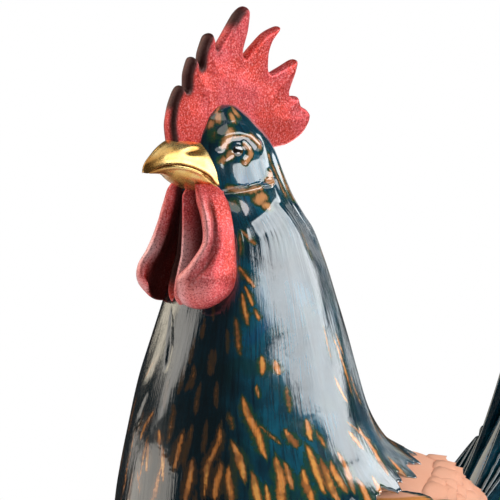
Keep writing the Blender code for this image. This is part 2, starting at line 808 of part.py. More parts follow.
def build_sickle(label, side, order):
    """One sickle: a tapering blade along its guide curve, ridged along the quill, flat on its inner face."""
    first, second, third, last, share = SICKLES[order]
    inside = TAIL_PLATE / 2 + JOINT + order * (SICKLE_THICKNESS + JOINT)

    def guide(at):
        weights = ((1 - at) ** 3, 3 * at * (1 - at) ** 2, 3 * at * at * (1 - at), at**3)
        points = (first, second, third, last)
        return [sum(weight * point[axis] for weight, point in zip(weights, points)) for axis in (0, 1)]

    outer, inner = [], []
    rows = 12
    for row in range(rows + 1):
        at = row / rows
        y, z = guide(at)
        ahead, behind = guide(min(1, at + 0.01)), guide(max(0, at - 0.01))
        run = Vector((ahead[0] - behind[0], ahead[1] - behind[1])).normalized()
        width = SICKLE_WIDTH / 2 / MM * share * (0.62 + 0.38 * math.sin(math.pi * at)) * (1 - at**7 * 0.93)
        over, under = [], []
        for column in range(5):
            across = column / 2 - 1
            flat_y, flat_z = y - run.y * width * across, z + run.x * width * across
            flare = 9.0 * MM * max(0.0, (flat_y - 12) / 130) ** 1.5
            thick = SICKLE_THICKNESS * (0.40 + 0.60 * (1 - abs(across)))
            x = side * (inside + flare)
            under.append(Vector((x, TAIL_Y + flat_y * MM, BACK_HEIGHT + flat_z * MM)))
            over.append(Vector((x + side * thick, TAIL_Y + flat_y * MM, BACK_HEIGHT + flat_z * MM)))
        outer.append(over)
        inner.append(under)
    name = f"{label}_sickle_{order + 1}"
    return add_object(name, slab(name, outer, inner), "dark_glaze")


# Legs: the thigh, the shank and the foot, each with its own rings.
THIGH_SECTIONS = [
    (0.00, 7.5, 8.0, 8.0),
    (0.12, 10.5, 11.5, 6.5),
    (0.34, 16.0, 19.0, 2.5),
    (0.60, 20.5, 25.0, -3.0),
    (1.00, 22.0, 28.0, -9.0),
]
THIGH_LENGTH = TRUNK_MIDDLE - 16 * MM - HOCK_HEIGHT
LEG_Y = 4 * MM


def build_thigh(label, side):
    rings = []
    for step in range(9):
        width, depth, back = blend_rows(THIGH_SECTIONS, step / 8)
        rings.append(
            [
                Vector(
                    (
                        side * STANCE / 2 + math.sin(turn) * width * MM,
                        LEG_Y + (back + math.cos(turn) * depth) * MM,
                        HOCK_HEIGHT + THIGH_LENGTH * step / 8,
                    )
                )
                for turn in (2 * math.pi * index / 20 for index in range(20))
            ]
        )
    name = f"{label}_thigh"
    return add_object(name, loft(name, rings), "matt_peach")


def build_shank(label, side):
    """The scaled shank with its spur, standing on the foot and ending flat under the thigh."""
    foot_top = BASE_HEIGHT + TOE_DIAMETER * 1.25
    low, high = foot_top + JOINT, HOCK_HEIGHT - JOINT
    rings = []
    swell = [(0.0, 1.22), (0.12, 1.0), (0.5, 0.94), (0.82, 1.04), (1.0, 1.3)]
    for step in range(10):
        share = step / 9
        (wide,) = blend_rows(swell, share)
        radius = SHANK_DIAMETER / 2 * wide
        rings.append(
            [
                Vector(
                    (
                        side * STANCE / 2 + math.sin(turn) * radius,
                        LEG_Y + 8 * MM * share + math.cos(turn) * radius * 1.08,
                        low + (high - low) * share,
                    )
                )
                for turn in (2 * math.pi * index / 14 for index in range(14))
            ]
        )
    name = f"{label}_shank"
    shank = add_object(name, loft(name, rings), "gilding")
    root = Vector((side * STANCE / 2, LEG_Y + 2.6 * MM, low + 0.33 * (high - low)))
    tip = root + Vector((-side * 0.45, 0.86, 0.22)).normalized() * (SHANK_DIAMETER / 2 + SPUR_LENGTH)
    spur = cutter(f"{name}_spur", horn(f"{name}_spur", [root, tip], [2.9 * MM, 0.5 * MM]))
    boolean(shank, spur, "UNION")
    return shank


def horn(name, line, radii, count=8):
    """A round tapering body along a line of points."""
    rings = []
    for index, (point, radius) in enumerate(zip(line, radii)):
        before, after = line[max(0, index - 1)], line[min(len(line) - 1, index + 1)]
        run = (after - before).normalized()
        side = run.cross(Vector((0, 0, 1)))
        side = side.normalized() if side.length > 1e-6 else Vector((1, 0, 0))
        over = side.cross(run)
        rings.append(
            [
                point + side * math.cos(turn) * radius + over * math.sin(turn) * radius
                for turn in (2 * math.pi * step / count for step in range(count))
            ]
        )
    return loft(name, rings)


TOES = ((-4, 1.0), (-36, 0.86), (30, 0.84), (168, 0.52))


def build_foot(label, side):
    """Three toes forward and one back round a knuckle, with flat soles on the base."""
    floor = BASE_HEIGHT + JOINT
    name = f"{label}_foot"
    centre = Vector((side * STANCE / 2, LEG_Y, floor + TOE_DIAMETER * 0.5))
    knuckle = loft(
        name,
        [
            [
                Vector(
                    (
                        centre.x + math.sin(turn) * radius * MM,
                        centre.y + math.cos(turn) * radius * MM,
                        BASE_HEIGHT + height * TOE_DIAMETER,
                    )
                )
                for turn in (2 * math.pi * index / 14 for index in range(14))
            ]
            for radius, height in ((7.4, 0.0), (8.6, 0.45), (7.6, 0.95), (6.6, 1.25))
        ],
    )
    foot = add_object(name, knuckle, "gilding")
    for order, (angle, length) in enumerate(TOES):
        heading = Vector((math.sin(math.radians(angle)) * side, -math.cos(math.radians(angle)), 0))
        reach = TOE_LENGTH * length
        line = [
            centre + heading * reach * 0.05,
            centre + heading * reach * 0.40 + Vector((0, 0, 0.8 * MM)),
            centre + heading * reach * 0.70 + Vector((0, 0, -0.4 * MM)),
            centre + heading * reach * 0.84 + Vector((0, 0, 0.5 * MM)),
            centre + heading * reach * 1.02 + Vector((0, 0, -1.9 * MM)),
        ]
        radii = [TOE_DIAMETER * 0.62, TOE_DIAMETER * 0.50, TOE_DIAMETER * 0.53, TOE_DIAMETER * 0.34, 0.9 * MM]
        toe = cutter(f"{name}_toe_{order}", horn(f"{name}_toe_{order}", line, radii))
        boolean(foot, toe, "UNION")
    boolean(foot, bpy.data.objects["ground_under_feet"])
    return foot


def base_outline(turn, grow=0.0):
    """The base's edge: an egg with the waves of worn rock."""
    wave = 1 + 0.035 * math.sin(3 * turn + 0.6) + 0.022 * math.sin(5 * turn + 2.1)
    return Vector(
        (
            math.sin(turn) * (BASE_WIDTH / 2 * wave + grow),
            -math.cos(turn) * (BASE_LENGTH / 2 * wave + grow),
            0,
        )
    )


def build_base():
    """The hollow base. Its cavity is vented through the floor, beside the middle that it stands on."""
    turns = [2 * math.pi * index / 30 for index in range(30)]
    levels = ((0.0, -2.5), (0.10, 0.0), (0.34, 0.8), (0.58, -2.0), (0.80, -7.5), (0.93, -13.0), (1.0, -20.0))
    rings = [
        [base_outline(turn, grow * MM) + Vector((0, 0, BASE_HEIGHT * level)) for turn in turns]
        for level, grow in levels
    ]
    base = add_object("base", loft("base", rings), "stone_bisque", smooth_angle=35)
    hollow = [
        [base_outline(turn, grow * MM) + Vector((0, 0, height)) for turn in turns]
        for height, grow in (
            (BASE_FLOOR, -8.0),
            (BASE_HEIGHT * 0.55, -9.0),
            (BASE_HEIGHT - 6 * MM, -22.0),
        )
    ]
    boolean(base, cutter("base_hollow", loft("base_hollow", hollow)))
    vent = [
        [
            Vector(
                (
                    math.sin(turn) * VENT_DIAMETER / 2,
                    VENT_OFFSET + math.cos(turn) * VENT_DIAMETER / 2,
                    height,
                )
            )
            for turn in (2 * math.pi * index / 20 for index in range(20))
        ]
        for height in (-2 * MM, BASE_FLOOR + 2 * MM)
    ]
    boolean(base, cutter("base_vent", loft("base_vent", vent)))
    return base


def ground_block():
    """Everything below the soles, to flatten the feet."""
    reach = 120 * MM
    low, high = -10 * MM, BASE_HEIGHT + JOINT
    corners = [(-reach, -reach), (reach, -reach), (reach, reach), (-reach, reach)]
    rings = [[Vector((x, y, z)) for x, y in corners] for z in (low, high)]
    return cutter("ground_under_feet", loft("ground_under_feet", rings))


def clear_scene():
    for obj in list(bpy.data.objects):
        bpy.data.objects.remove(obj)


def main():
    clear_scene()
    ground_block()
    build_base()
    neck = build_neck()
    build_trunk()
    trunk_seat = trunk_cutter("trunk_seat")
    neck_seat = neck_plug("neck_seat", JOINT)
    upper, lower = build_beak()
    comb = build_comb()
    fold = build_chin_fold()
    upper_rings = beak_rings(UPPER_BEAK, JOINT)
    seat_tip = beak_tip(UPPER_TIP) + Vector((0, -2 * JOINT, 0))
    beak_seat = cutter("beak_seat", loft("beak_seat", upper_rings, end_point=seat_tip))
    chin_seat = cutter("chin_seat", loft("chin_seat", beak_rings(LOWER_BEAK, JOINT, downward=True)))
    for piece in (upper, lower, comb, fold):
        boolean(piece, neck_seat)
    boolean(comb, beak_seat)
    boolean(fold, chin_seat)
    fan = build_tail_fan()
    boolean(fan, trunk_seat)
    for label, side in (("left", 1), ("right", -1)):
        wing = build_wing(label, side)
        boolean(wing, trunk_seat)
        boolean(wing, neck_seat)
        wattle = build_wattle(label, side)
        boolean(wattle, neck_seat)
        boolean(wattle, chin_seat)
        boolean(wattle, beak_seat)
        eye = f"{label}_eye"
        add_object(eye, eye_sphere(eye, side), "eye_glaze")
        boolean(neck, cutter(f"{label}_eye_seat", eye_sphere(f"{label}_eye_seat", side, JOINT)))
        for order in range(TAIL_SICKLES):
            boolean(build_sickle(label, side, order), trunk_seat)
        boolean(build_thigh(label, side), trunk_seat)
        build_shank(label, side)
        build_foot(label, side)


main()
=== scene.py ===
# %% [markdown]
# A porcelain rooster, dressed over its castings.
# The solid castings come in from the packed model. This lesson makes the fine surface of each one: modelled
# feathers, painted streaks, lustre and gilding. Every piece is built in metres where it stands, so no object
# is ever moved afterwards.
# The bird faces -Y, and +X is its left side.

# %% Load the castings
import math

import bmesh
import bpy
import numpy as np
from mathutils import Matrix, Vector, geometry


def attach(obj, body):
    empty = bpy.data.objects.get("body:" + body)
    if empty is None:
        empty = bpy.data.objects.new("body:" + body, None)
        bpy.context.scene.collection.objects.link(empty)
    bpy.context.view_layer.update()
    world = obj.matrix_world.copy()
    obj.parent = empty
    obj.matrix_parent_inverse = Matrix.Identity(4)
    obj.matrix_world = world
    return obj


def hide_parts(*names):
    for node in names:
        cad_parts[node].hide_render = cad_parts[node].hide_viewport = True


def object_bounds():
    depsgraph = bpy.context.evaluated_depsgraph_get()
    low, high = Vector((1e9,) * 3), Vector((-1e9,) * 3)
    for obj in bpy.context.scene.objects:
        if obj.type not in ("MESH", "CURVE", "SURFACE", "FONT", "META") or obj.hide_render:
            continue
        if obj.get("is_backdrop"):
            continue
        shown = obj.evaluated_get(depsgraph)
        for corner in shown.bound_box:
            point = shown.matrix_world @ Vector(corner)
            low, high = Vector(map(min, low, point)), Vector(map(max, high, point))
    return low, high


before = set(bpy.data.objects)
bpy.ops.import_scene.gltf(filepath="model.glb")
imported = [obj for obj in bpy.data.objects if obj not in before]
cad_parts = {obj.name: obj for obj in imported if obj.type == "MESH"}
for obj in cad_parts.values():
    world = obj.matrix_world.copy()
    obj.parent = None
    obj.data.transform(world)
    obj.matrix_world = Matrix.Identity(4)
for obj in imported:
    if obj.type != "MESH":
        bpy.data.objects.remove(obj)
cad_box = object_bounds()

MM = 0.001
print("castings:", len(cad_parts))

# %% [markdown]
# Sizes first. The head and neck are one column of egg-shaped sections, from the crown down to the hem of
# the hackle cape, and everything on the head is placed by how far it lies below the crown. A table of
# sections is the porcelain maker's way of describing such a form: a profile gauge every few millimetres.

# %% Main sizes
NECK_AXIS_Y = -30 * MM
CROWN_HEIGHT = 416 * MM
CAPE_HEIGHT = 232 * MM
CAPE_TILT = math.radians(14)
JAW_FALL = 56 * MM
LOCK_TIP = 5 * MM
LOCKS = 24
BACK_HEIGHT = CAPE_HEIGHT + 21 * MM
BELLY_HEIGHT = 124 * MM
BREAST_REACH = 68 * MM
RUMP_REACH = 138 * MM
TRUNK_WIDTH = 114 * MM
STANCE = 52 * MM
HOCK_HEIGHT = 94 * MM
BASE_HEIGHT = 27 * MM
LEG_Y = 4 * MM

# each row: fall below the crown, half width, reach forward, reach back (mm)
HEAD_SECTIONS = [
    (-1.6, 2.0, 18.0, -14.0),
    (-0.5, 6.4, 21.5, -11.0),
    (1.4, 8.6, 25.0, -8.0),
    (4.2, 10.8, 28.0, -3.8),
    (7.7, 12.9, 30.0, -0.4),
    (13.0, 15.5, 32.8, 5.4),
    (21.0, 18.0, 34.4, 10.2),
    (31.0, 20.4, 34.9, 14.2),
    (41.0, 22.6, 34.0, 18.9),
    (50.0, 24.8, 32.0, 24.7),
    (57.0, 27.3, 31.5, 29.5),
]
# each row: share of the way from jaw to hem, half width, reaches (mm), share of the hem's tilt
NECK_SECTIONS = [
    (0.00, 27.3, 31.5, 29.5, 0.0),
    (0.09, 31.3, 34.0, 34.0, 0.0),
    (0.26, 38.6, 40.5, 40.5, 0.0),
    (0.39, 43.6, 45.5, 45.0, 0.0),
    (0.52, 48.6, 51.0, 49.0, 0.1),
    (0.66, 53.6, 55.5, 54.0, 0.3),
    (0.80, 58.2, 59.6, 62.5, 0.6),
    (0.90, 61.2, 62.4, 74.0, 0.85),
    (1.00, 63.2, 64.4, 89.0, 1.0),
]
NECK_LENGTH = CROWN_HEIGHT - CAPE_HEIGHT - JAW_FALL
print("neck from jaw to hem:", round(NECK_LENGTH / MM), "mm")


# %% Smooth values between the rows of a table
def along_table(table, at):
    """Reads a table of sections at an array of places, smoothly and with no overshoot."""
    rows = np.array(table, dtype=float)
    place, value = rows[:, 0], rows[:, 1:]
    step = np.diff(place)
    rise = np.diff(value, axis=0) / step[:, None]
    slope = np.zeros_like(value)
    slope[0], slope[-1] = rise[0], rise[-1]
    product = rise[:-1] * rise[1:]
    total = np.where(np.abs(rise[:-1] + rise[1:]) < 1e-12, 1.0, rise[:-1] + rise[1:])
    slope[1:-1] = np.where(product > 0, 2 * product / total, 0.0)
    at = np.clip(np.asarray(at, dtype=float), place[0], place[-1])
    low = np.clip(np.searchsorted(place, at, side="right") - 1, 0, len(place) - 2)
    share = ((at - place[low]) / step[low])[..., None]
    span = step[low][..., None]
    return (
        value[low] * (1 + 2 * share) * (1 - share) ** 2
        + slope[low] * span * share * (1 - share) ** 2
        + value[low + 1] * share**2 * (3 - 2 * share)
        - slope[low + 1] * span * share**2 * (1 - share)
    )


def smoothstep(low, high, value):
    """0 below low, 1 above high, with soft ends. It also runs backwards when low is above high."""
    share = np.clip((value - low) / (high - low), 0.0, 1.0)
    return share * share * (3 - 2 * share)


def mound(value, middle, width):
    """A soft hill: 1 at the middle and nearly 0 at twice the width from it."""
    return np.exp(-(((value - middle) / width) ** 2))


def once_round(count):
    """Turns that go evenly once round a form, in radians."""
    return 2 * math.pi * np.arange(count) / count


print("crown section:", along_table(HEAD_SECTIONS, 0.0).round(1))

# %% [markdown]
# Most castings are skins over a grid of points: rows run down the form and columns run round or across it.
# A grid could be a NURBS patch or a subdivided cage. A plain dense grid is chosen here because each point
# can then carry paint, as a number between 0 and 1, exactly where the decorator's brush went.


# %% Skins over a grid of points
def stand(name, data):
    """A new object, put into the scene."""
    obj = bpy.data.objects.new(name, data)
    bpy.context.scene.collection.objects.link(obj)
    return obj


def skin(name, grid, closed=True, ends=(True, True), paint=None):
    """A mesh over rows and columns of points. Closed skins wrap round; ends closes the first and last row."""
    rows, columns = grid.shape[:2]
    points = grid.reshape(-1, 3)
    wide = columns if closed else columns - 1
    row, column = np.meshgrid(np.arange(rows - 1), np.arange(wide), indexing="ij")
    after = (column + 1) % columns
    upper, lower = row * columns, (row + 1) * columns
    quads = np.stack([upper + column, upper + after, lower + after, lower + column], axis=-1).reshape(-1, 4)
    loose = []
    extra = []
    for end, first in ((0, 0), (1, (rows - 1) * columns)):
        if closed and ends[end]:
            ring = points[first : first + columns]
            extra.append(ring.mean(axis=0))
            tip = len(points) + len(extra) - 1
            pairs = [(first + c, first + (c + 1) % columns, tip) for c in range(columns)]
            loose += [tuple(reversed(pair)) for pair in pairs] if end == 0 else pairs
    if extra:
        points = np.vstack([points, np.array(extra)])
    mesh = bpy.data.meshes.new(name)
    mesh.from_pydata(points.tolist(), [], quads.tolist() + loose)
    uv = mesh.uv_layers.new(name="along")
    u = np.stack([column, column + 1, column + 1, column], axis=-1).reshape(-1) / wide
    v = np.stack([row, row, row + 1, row + 1], axis=-1).reshape(-1) / (rows - 1)
    flat = np.zeros((len(mesh.loops), 2), dtype=np.float32)
    flat[: len(u), 0], flat[: len(v), 1] = u, v
    uv.data.foreach_set("uv", flat.reshape(-1))
    for label, values in (paint or {}).items():
        layer = mesh.attributes.new(label, "FLOAT", "POINT")
        filled = np.concatenate([values.reshape(-1), np.zeros(len(extra))]).astype(np.float32)
        layer.data.foreach_set("value", filled)
    face_out(mesh)
    mesh.shade_smooth()
    return stand(name, mesh)


def face_out(mesh):
    """Merges doubled points, then turns every face outwards."""
    work = bmesh.new()
    work.from_mesh(mesh)
    bmesh.ops.remove_doubles(work, verts=work.verts, dist=1e-7)
    bmesh.ops.recalc_face_normals(work, faces=work.faces)
    work.to_mesh(mesh)
    work.free()


# %% Joining and counting skins
def join(name, parts):
    """Puts several skins into one piece. Their paint and their maps go with them."""
    for other in parts[1:]:
        for layer in other.data.attributes:
            if layer.name not in parts[0].data.attributes and layer.domain == "POINT":
                parts[0].data.attributes.new(layer.name, layer.data_type, "POINT")
    with bpy.context.temp_override(
        active_object=parts[0], selected_objects=parts, selected_editable_objects=parts, object=parts[0]
    ):
        bpy.ops.object.join()
    parts[0].name = name
    parts[0].data.name = name
    return parts[0]


def triangles(obj):
    return sum(len(face.vertices) - 2 for face in obj.data.polygons)


print("meshes before the first skin:", len(bpy.data.meshes))


# %% Dressing a casting
def dress(piece, finish, node):
    """Gives a piece its finish unless it has one, hangs it from the root body and hides the casting it
    dresses.
    """
    if not piece.data.materials:
        piece.data.materials.append(finish)
    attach(piece, "root")
    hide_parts(node)
    return piece


def below_crown(grid):
    """Places in the scene for a grid in millimetres, counted from the neck's axis and the crown."""
    return grid * MM + np.array([0, NECK_AXIS_Y, CROWN_HEIGHT])


print("a place 56 mm below the crown:", below_crown(np.array([0.0, 0.0, -56.0])).round(3))

# %% [markdown]
# The camera looks a little down on the bird's left front, from far away through a long lens, which keeps
# the neck's proportions flat and dignified. The long lens could be faked by moving closer and cropping,
# but that would swell the beak.

# %% Camera
VIEW_TURN = math.radians(50)
VIEW_RISE = math.radians(5)
VIEW_DISTANCE = 1.35
VIEW_SPAN = 225 * MM  # how much of the bird the picture spans
VIEW_HEIGHT = 350.65 * MM  # how high the picture's middle lies
SENSOR = 36


def way_from(turn, rise):
    """The direction from the bird at a turn round it and a rise above the ground, in radians."""
    return Vector((math.sin(turn) * math.cos(rise), -math.cos(turn) * math.cos(rise), math.sin(rise)))


view_back = way_from(VIEW_TURN, VIEW_RISE)
view_target = Vector((0, NECK_AXIS_Y, VIEW_HEIGHT))
camera_data = bpy.data.cameras.new("portrait_camera")
camera_data.sensor_width = SENSOR
camera_data.lens = SENSOR * VIEW_DISTANCE / VIEW_SPAN
camera_data.clip_start = 0.05
camera = stand("portrait_camera", camera_data)
camera.location = view_target + view_back * VIEW_DISTANCE
camera.rotation_euler = view_back.to_track_quat("Z", "Y").to_euler()
bpy.context.scene.camera = camera
bpy.context.scene.view_settings.view_transform = "Standard"
print("lens:", round(camera_data.lens), "mm")

# %% [markdown]
# Glazed porcelain shows the studio more than it shows its own colour. Two kinds of light are set up.
# Soft lamps give every colour its plain level. Then large reflector cards, which only shiny surfaces see,
# stand where a photographer would put them: a big, slightly cloudy softbox on the right, three fills beside
# each other on the left, whose notched edge splits the reflection on the neck, and small fills below and
# above for the wattles, the brow and the beak. A black flag round all of them keeps the rest of the glaze
# deep. Cards that light everything would be simpler, but they would bleach the matt peach back.


# %% Direction helper and lamps
def toward(turn_deg, rise_deg, distance):
    """A point round the bird. The turn is counted from the camera towards the picture's right side."""
    return view_target + distance * way_from(VIEW_TURN + math.radians(turn_deg), math.radians(rise_deg))


def lamp(name, turn_deg, rise_deg, distance, size, watts, colour=(1, 1, 1), aim=(0, 0, 0.25)):
    data = bpy.data.lights.new(name, "AREA")
    data.shape = "DISK"
    data.size = size
    data.energy = watts
    data.color = colour
    obj = stand(name, data)
    obj.location = toward(turn_deg, rise_deg, distance)
    obj.rotation_euler = (obj.location - Vector(aim)).to_track_quat("Z", "Y").to_euler()
    obj.visible_glossy = False


lamp("key_lamp", 80, 30, 1.6, 0.9, 15)
lamp("front_fill", 30, 24, 1.8, 1.0, 1.6)
lamp("rim_lamp", -84, 12, 1.7, 0.5, 8)
lamp("top_lamp", 150, 62, 1.7, 1.0, 4)
print("lamps:", len(bpy.data.lights))


# %% A reflector card
def card(name, outline, strength, tint=(1, 1, 1), distance=1.5, steps=16, cloudy=0.0):
    """A curved card seen only in reflections. Cloudy is the share of its light lost in soft patches."""
    grid = np.zeros((steps + 1, steps + 1, 3))
    for i in range(steps + 1):
        turn, low, high = outline(i / steps)
        for j in range(steps + 1):
            grid[j, i] = toward(turn, low + (high - low) * j / steps, distance)
    obj = skin(name, grid, closed=False)
    material = bpy.data.materials.new(name)
    material.use_nodes = True
    tree = material.node_tree
    tree.nodes.clear()
    emission = tree.nodes.new("ShaderNodeEmission")
    emission.inputs["Color"].default_value = (*tint, 1)
    emission.inputs["Strength"].default_value = strength
    output = tree.nodes.new("ShaderNodeOutputMaterial")
    tree.links.new(emission.outputs["Emission"], output.inputs["Surface"])
    if cloudy:
        place = tree.nodes.new("ShaderNodeTexCoord")
        noise = tree.nodes.new("ShaderNodeTexNoise")
        noise.inputs["Scale"].default_value = 3.2
        noise.inputs["Detail"].default_value = 3.0
        spread = tree.nodes.new("ShaderNodeMapRange")
        limits = {"From Min": 0.36, "From Max": 0.60, "To Min": strength * (1 - cloudy), "To Max": strength}
        for label, value in limits.items():
            spread.inputs[label].default_value = value
        tree.links.new(place.outputs["Object"], noise.inputs["Vector"])
        tree.links.new(noise.outputs["Fac"], spread.inputs["Value"])
        tree.links.new(spread.outputs["Result"], emission.inputs["Strength"])
    obj.data.materials.append(material)
    obj.visible_camera = False
    obj.visible_diffuse = False
    obj.visible_shadow = False
    obj.visible_transmission = False
    obj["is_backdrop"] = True


print("a plain card is a grid of", 17 * 17, "points, seen only in reflections")


# %% The softbox
def softbox_edges(share):
    """The softbox from its left end to its right: its lower edge falls and its upper edge steps down."""
    turn = 10 + share * 112
    low = 7 + 30 * (1 - share) ** 2.0
    high = 50 - 10 * float(smoothstep(0.45, 0.7, share)) - 19 * float(np.clip((share - 0.76) / 0.24, 0, 1))
    return turn, low, high


card("softbox", softbox_edges, 3.8, (0.97, 1.0, 1.02), cloudy=0.35)
print("the softbox ends at turn and heights", [round(v, 1) for v in softbox_edges(1.0)])


# %% Fills and the flag
def edges(start, end, low, high):
    """A card's outline between two turns. An edge is one height, or a list of (turn, height) in degrees."""

    def outline(share):
        turn = start + share * (end - start)
        lines = [edge if isinstance(edge, list) else [(start, edge), (end, edge)] for edge in (low, high)]
        return turn, *(float(np.interp(turn, *zip(*line))) for line in lines)

    return outline


near_foot = [(-104.5, 3), (-91, 5), (-72, 19)]
far_foot = [(-139, 1), (-133, 1.5), (-107, 12.5), (-104.5, 3)]
notched_top = [(-128, -1.8), (-107, -1.5), (-104.5, 1.5), (-71, 3.5)]
card("side_fill", edges(-104.5, -72, near_foot, 50), 1.45, (1.0, 0.95, 0.88), steps=40)
card("side_far_fill", edges(-139, -104.5, far_foot, 50), 1.75, (1.0, 0.90, 0.72), steps=40)
card("side_low_fill", edges(-128, -71, -12, notched_top), 1.3, (1.0, 0.93, 0.84), steps=40)
card("low_fill", edges(118, 180, -34, -14), 6.0, (1.0, 0.94, 0.92), distance=0.75)
card("lobe_fill", edges(27, 62, -27, -12), 3.6, (1.0, 0.92, 0.92), distance=0.7)
card("brow_fill", edges(-56, 34, 54, 78), 0.9, (1.0, 0.95, 0.88))
card("top_fill", edges(-108, -58, 56, 82), 1.0, (1.0, 0.97, 0.92))
card("flag_front", edges(-205, 145, -60, 88), 0.025, distance=1.9, steps=40)

# %% [markdown]
# The room is white to the camera and to shiny surfaces, and gives the rest a gentle, even light. The floor
# is a pale disc whose edge fades into the white, so it keeps the bird's shadow and shows no horizon.

# %% White room
AMBIENT = 0.33
world = bpy.data.worlds.new("white_room")
bpy.context.scene.world = world
world.use_nodes = True
nodes, links = world.node_tree.nodes, world.node_tree.links
nodes.clear()
path = nodes.new("ShaderNodeLightPath")
sees_white = path.outputs["Is Camera Ray"]
for label in ("Is Glossy Ray", "Is Transmission Ray"):
    either = nodes.new("ShaderNodeMath")
    either.operation = "MAXIMUM"
    links.new(sees_white, either.inputs[0])
    links.new(path.outputs[label], either.inputs[1])
    sees_white = either.outputs[0]
ambient = nodes.new("ShaderNodeBackground")
ambient.inputs["Strength"].default_value = AMBIENT
white = nodes.new("ShaderNodeBackground")
white.inputs["Strength"].default_value = 1.0
for background in (ambient, white):
    background.inputs["Color"].default_value = (1, 1, 1, 1)
choose = nodes.new("ShaderNodeMixShader")
out = nodes.new("ShaderNodeOutputWorld")
links.new(sees_white, choose.inputs["Fac"])
links.new(ambient.outputs[0], choose.inputs[1])
links.new(white.outputs[0], choose.inputs[2])
links.new(choose.outputs[0], out.inputs["Surface"])
print("ambient light:", AMBIENT)

# %% Floor
FLOOR_RADIUS = 0.95
floor_mesh = bpy.data.meshes.new("floor")
floor_work = bmesh.new()
bmesh.ops.create_circle(floor_work, cap_ends=True, segments=96, radius=FLOOR_RADIUS)
bmesh.ops.translate(floor_work, verts=floor_work.verts, vec=(0, 0, -0.2 * MM))
floor_work.to_mesh(floor_mesh)
floor_work.free()
floor = stand("floor", floor_mesh)
floor_paint = bpy.data.materials.new("pale_floor")
floor_paint.use_nodes = True
nodes, links = floor_paint.node_tree.nodes, floor_paint.node_tree.links
shader = nodes["Principled BSDF"]
shader.inputs["Base Color"].default_value = (0.88, 0.88, 0.88, 1)
shader.inputs["Roughness"].default_value = 0.9
shader.inputs["Specular IOR Level"].default_value = 0.1
place = nodes.new("ShaderNodeTexCoord")
reach = nodes.new("ShaderNodeVectorMath")
reach.operation = "LENGTH"
fade = nodes.new("ShaderNodeMapRange")
fade.inputs["From Min"].default_value = 0.22
fade.inputs["From Max"].default_value = 0.90
fade.interpolation_type = "SMOOTHSTEP"
glow = nodes.new("ShaderNodeEmission")
blend = nodes.new("ShaderNodeMixShader")
links.new(place.outputs["Object"], reach.inputs[0])
links.new(reach.outputs["Value"], fade.inputs["Value"])
links.new(fade.outputs["Result"], blend.inputs["Fac"])
links.new(shader.outputs["BSDF"], blend.inputs[1])
links.new(glow.outputs["Emission"], blend.inputs[2])
links.new(blend.outputs["Shader"], nodes["Material Output"].inputs["Surface"])
floor_mesh.materials.append(floor_paint)
floor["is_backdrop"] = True
print("floor radius:", FLOOR_RADIUS, "m")

# %% [markdown]
# Now the finishes. On the real figure there are six: the deep glaze of the hackles and the tail, matt
# peach bisque, red lustre, gilding, the glossy eye and the bare stony base. Each is one recipe of nodes that
# reads the paint the piece carries, so the same glaze serves the neck and, with coarser barbs, the tail.


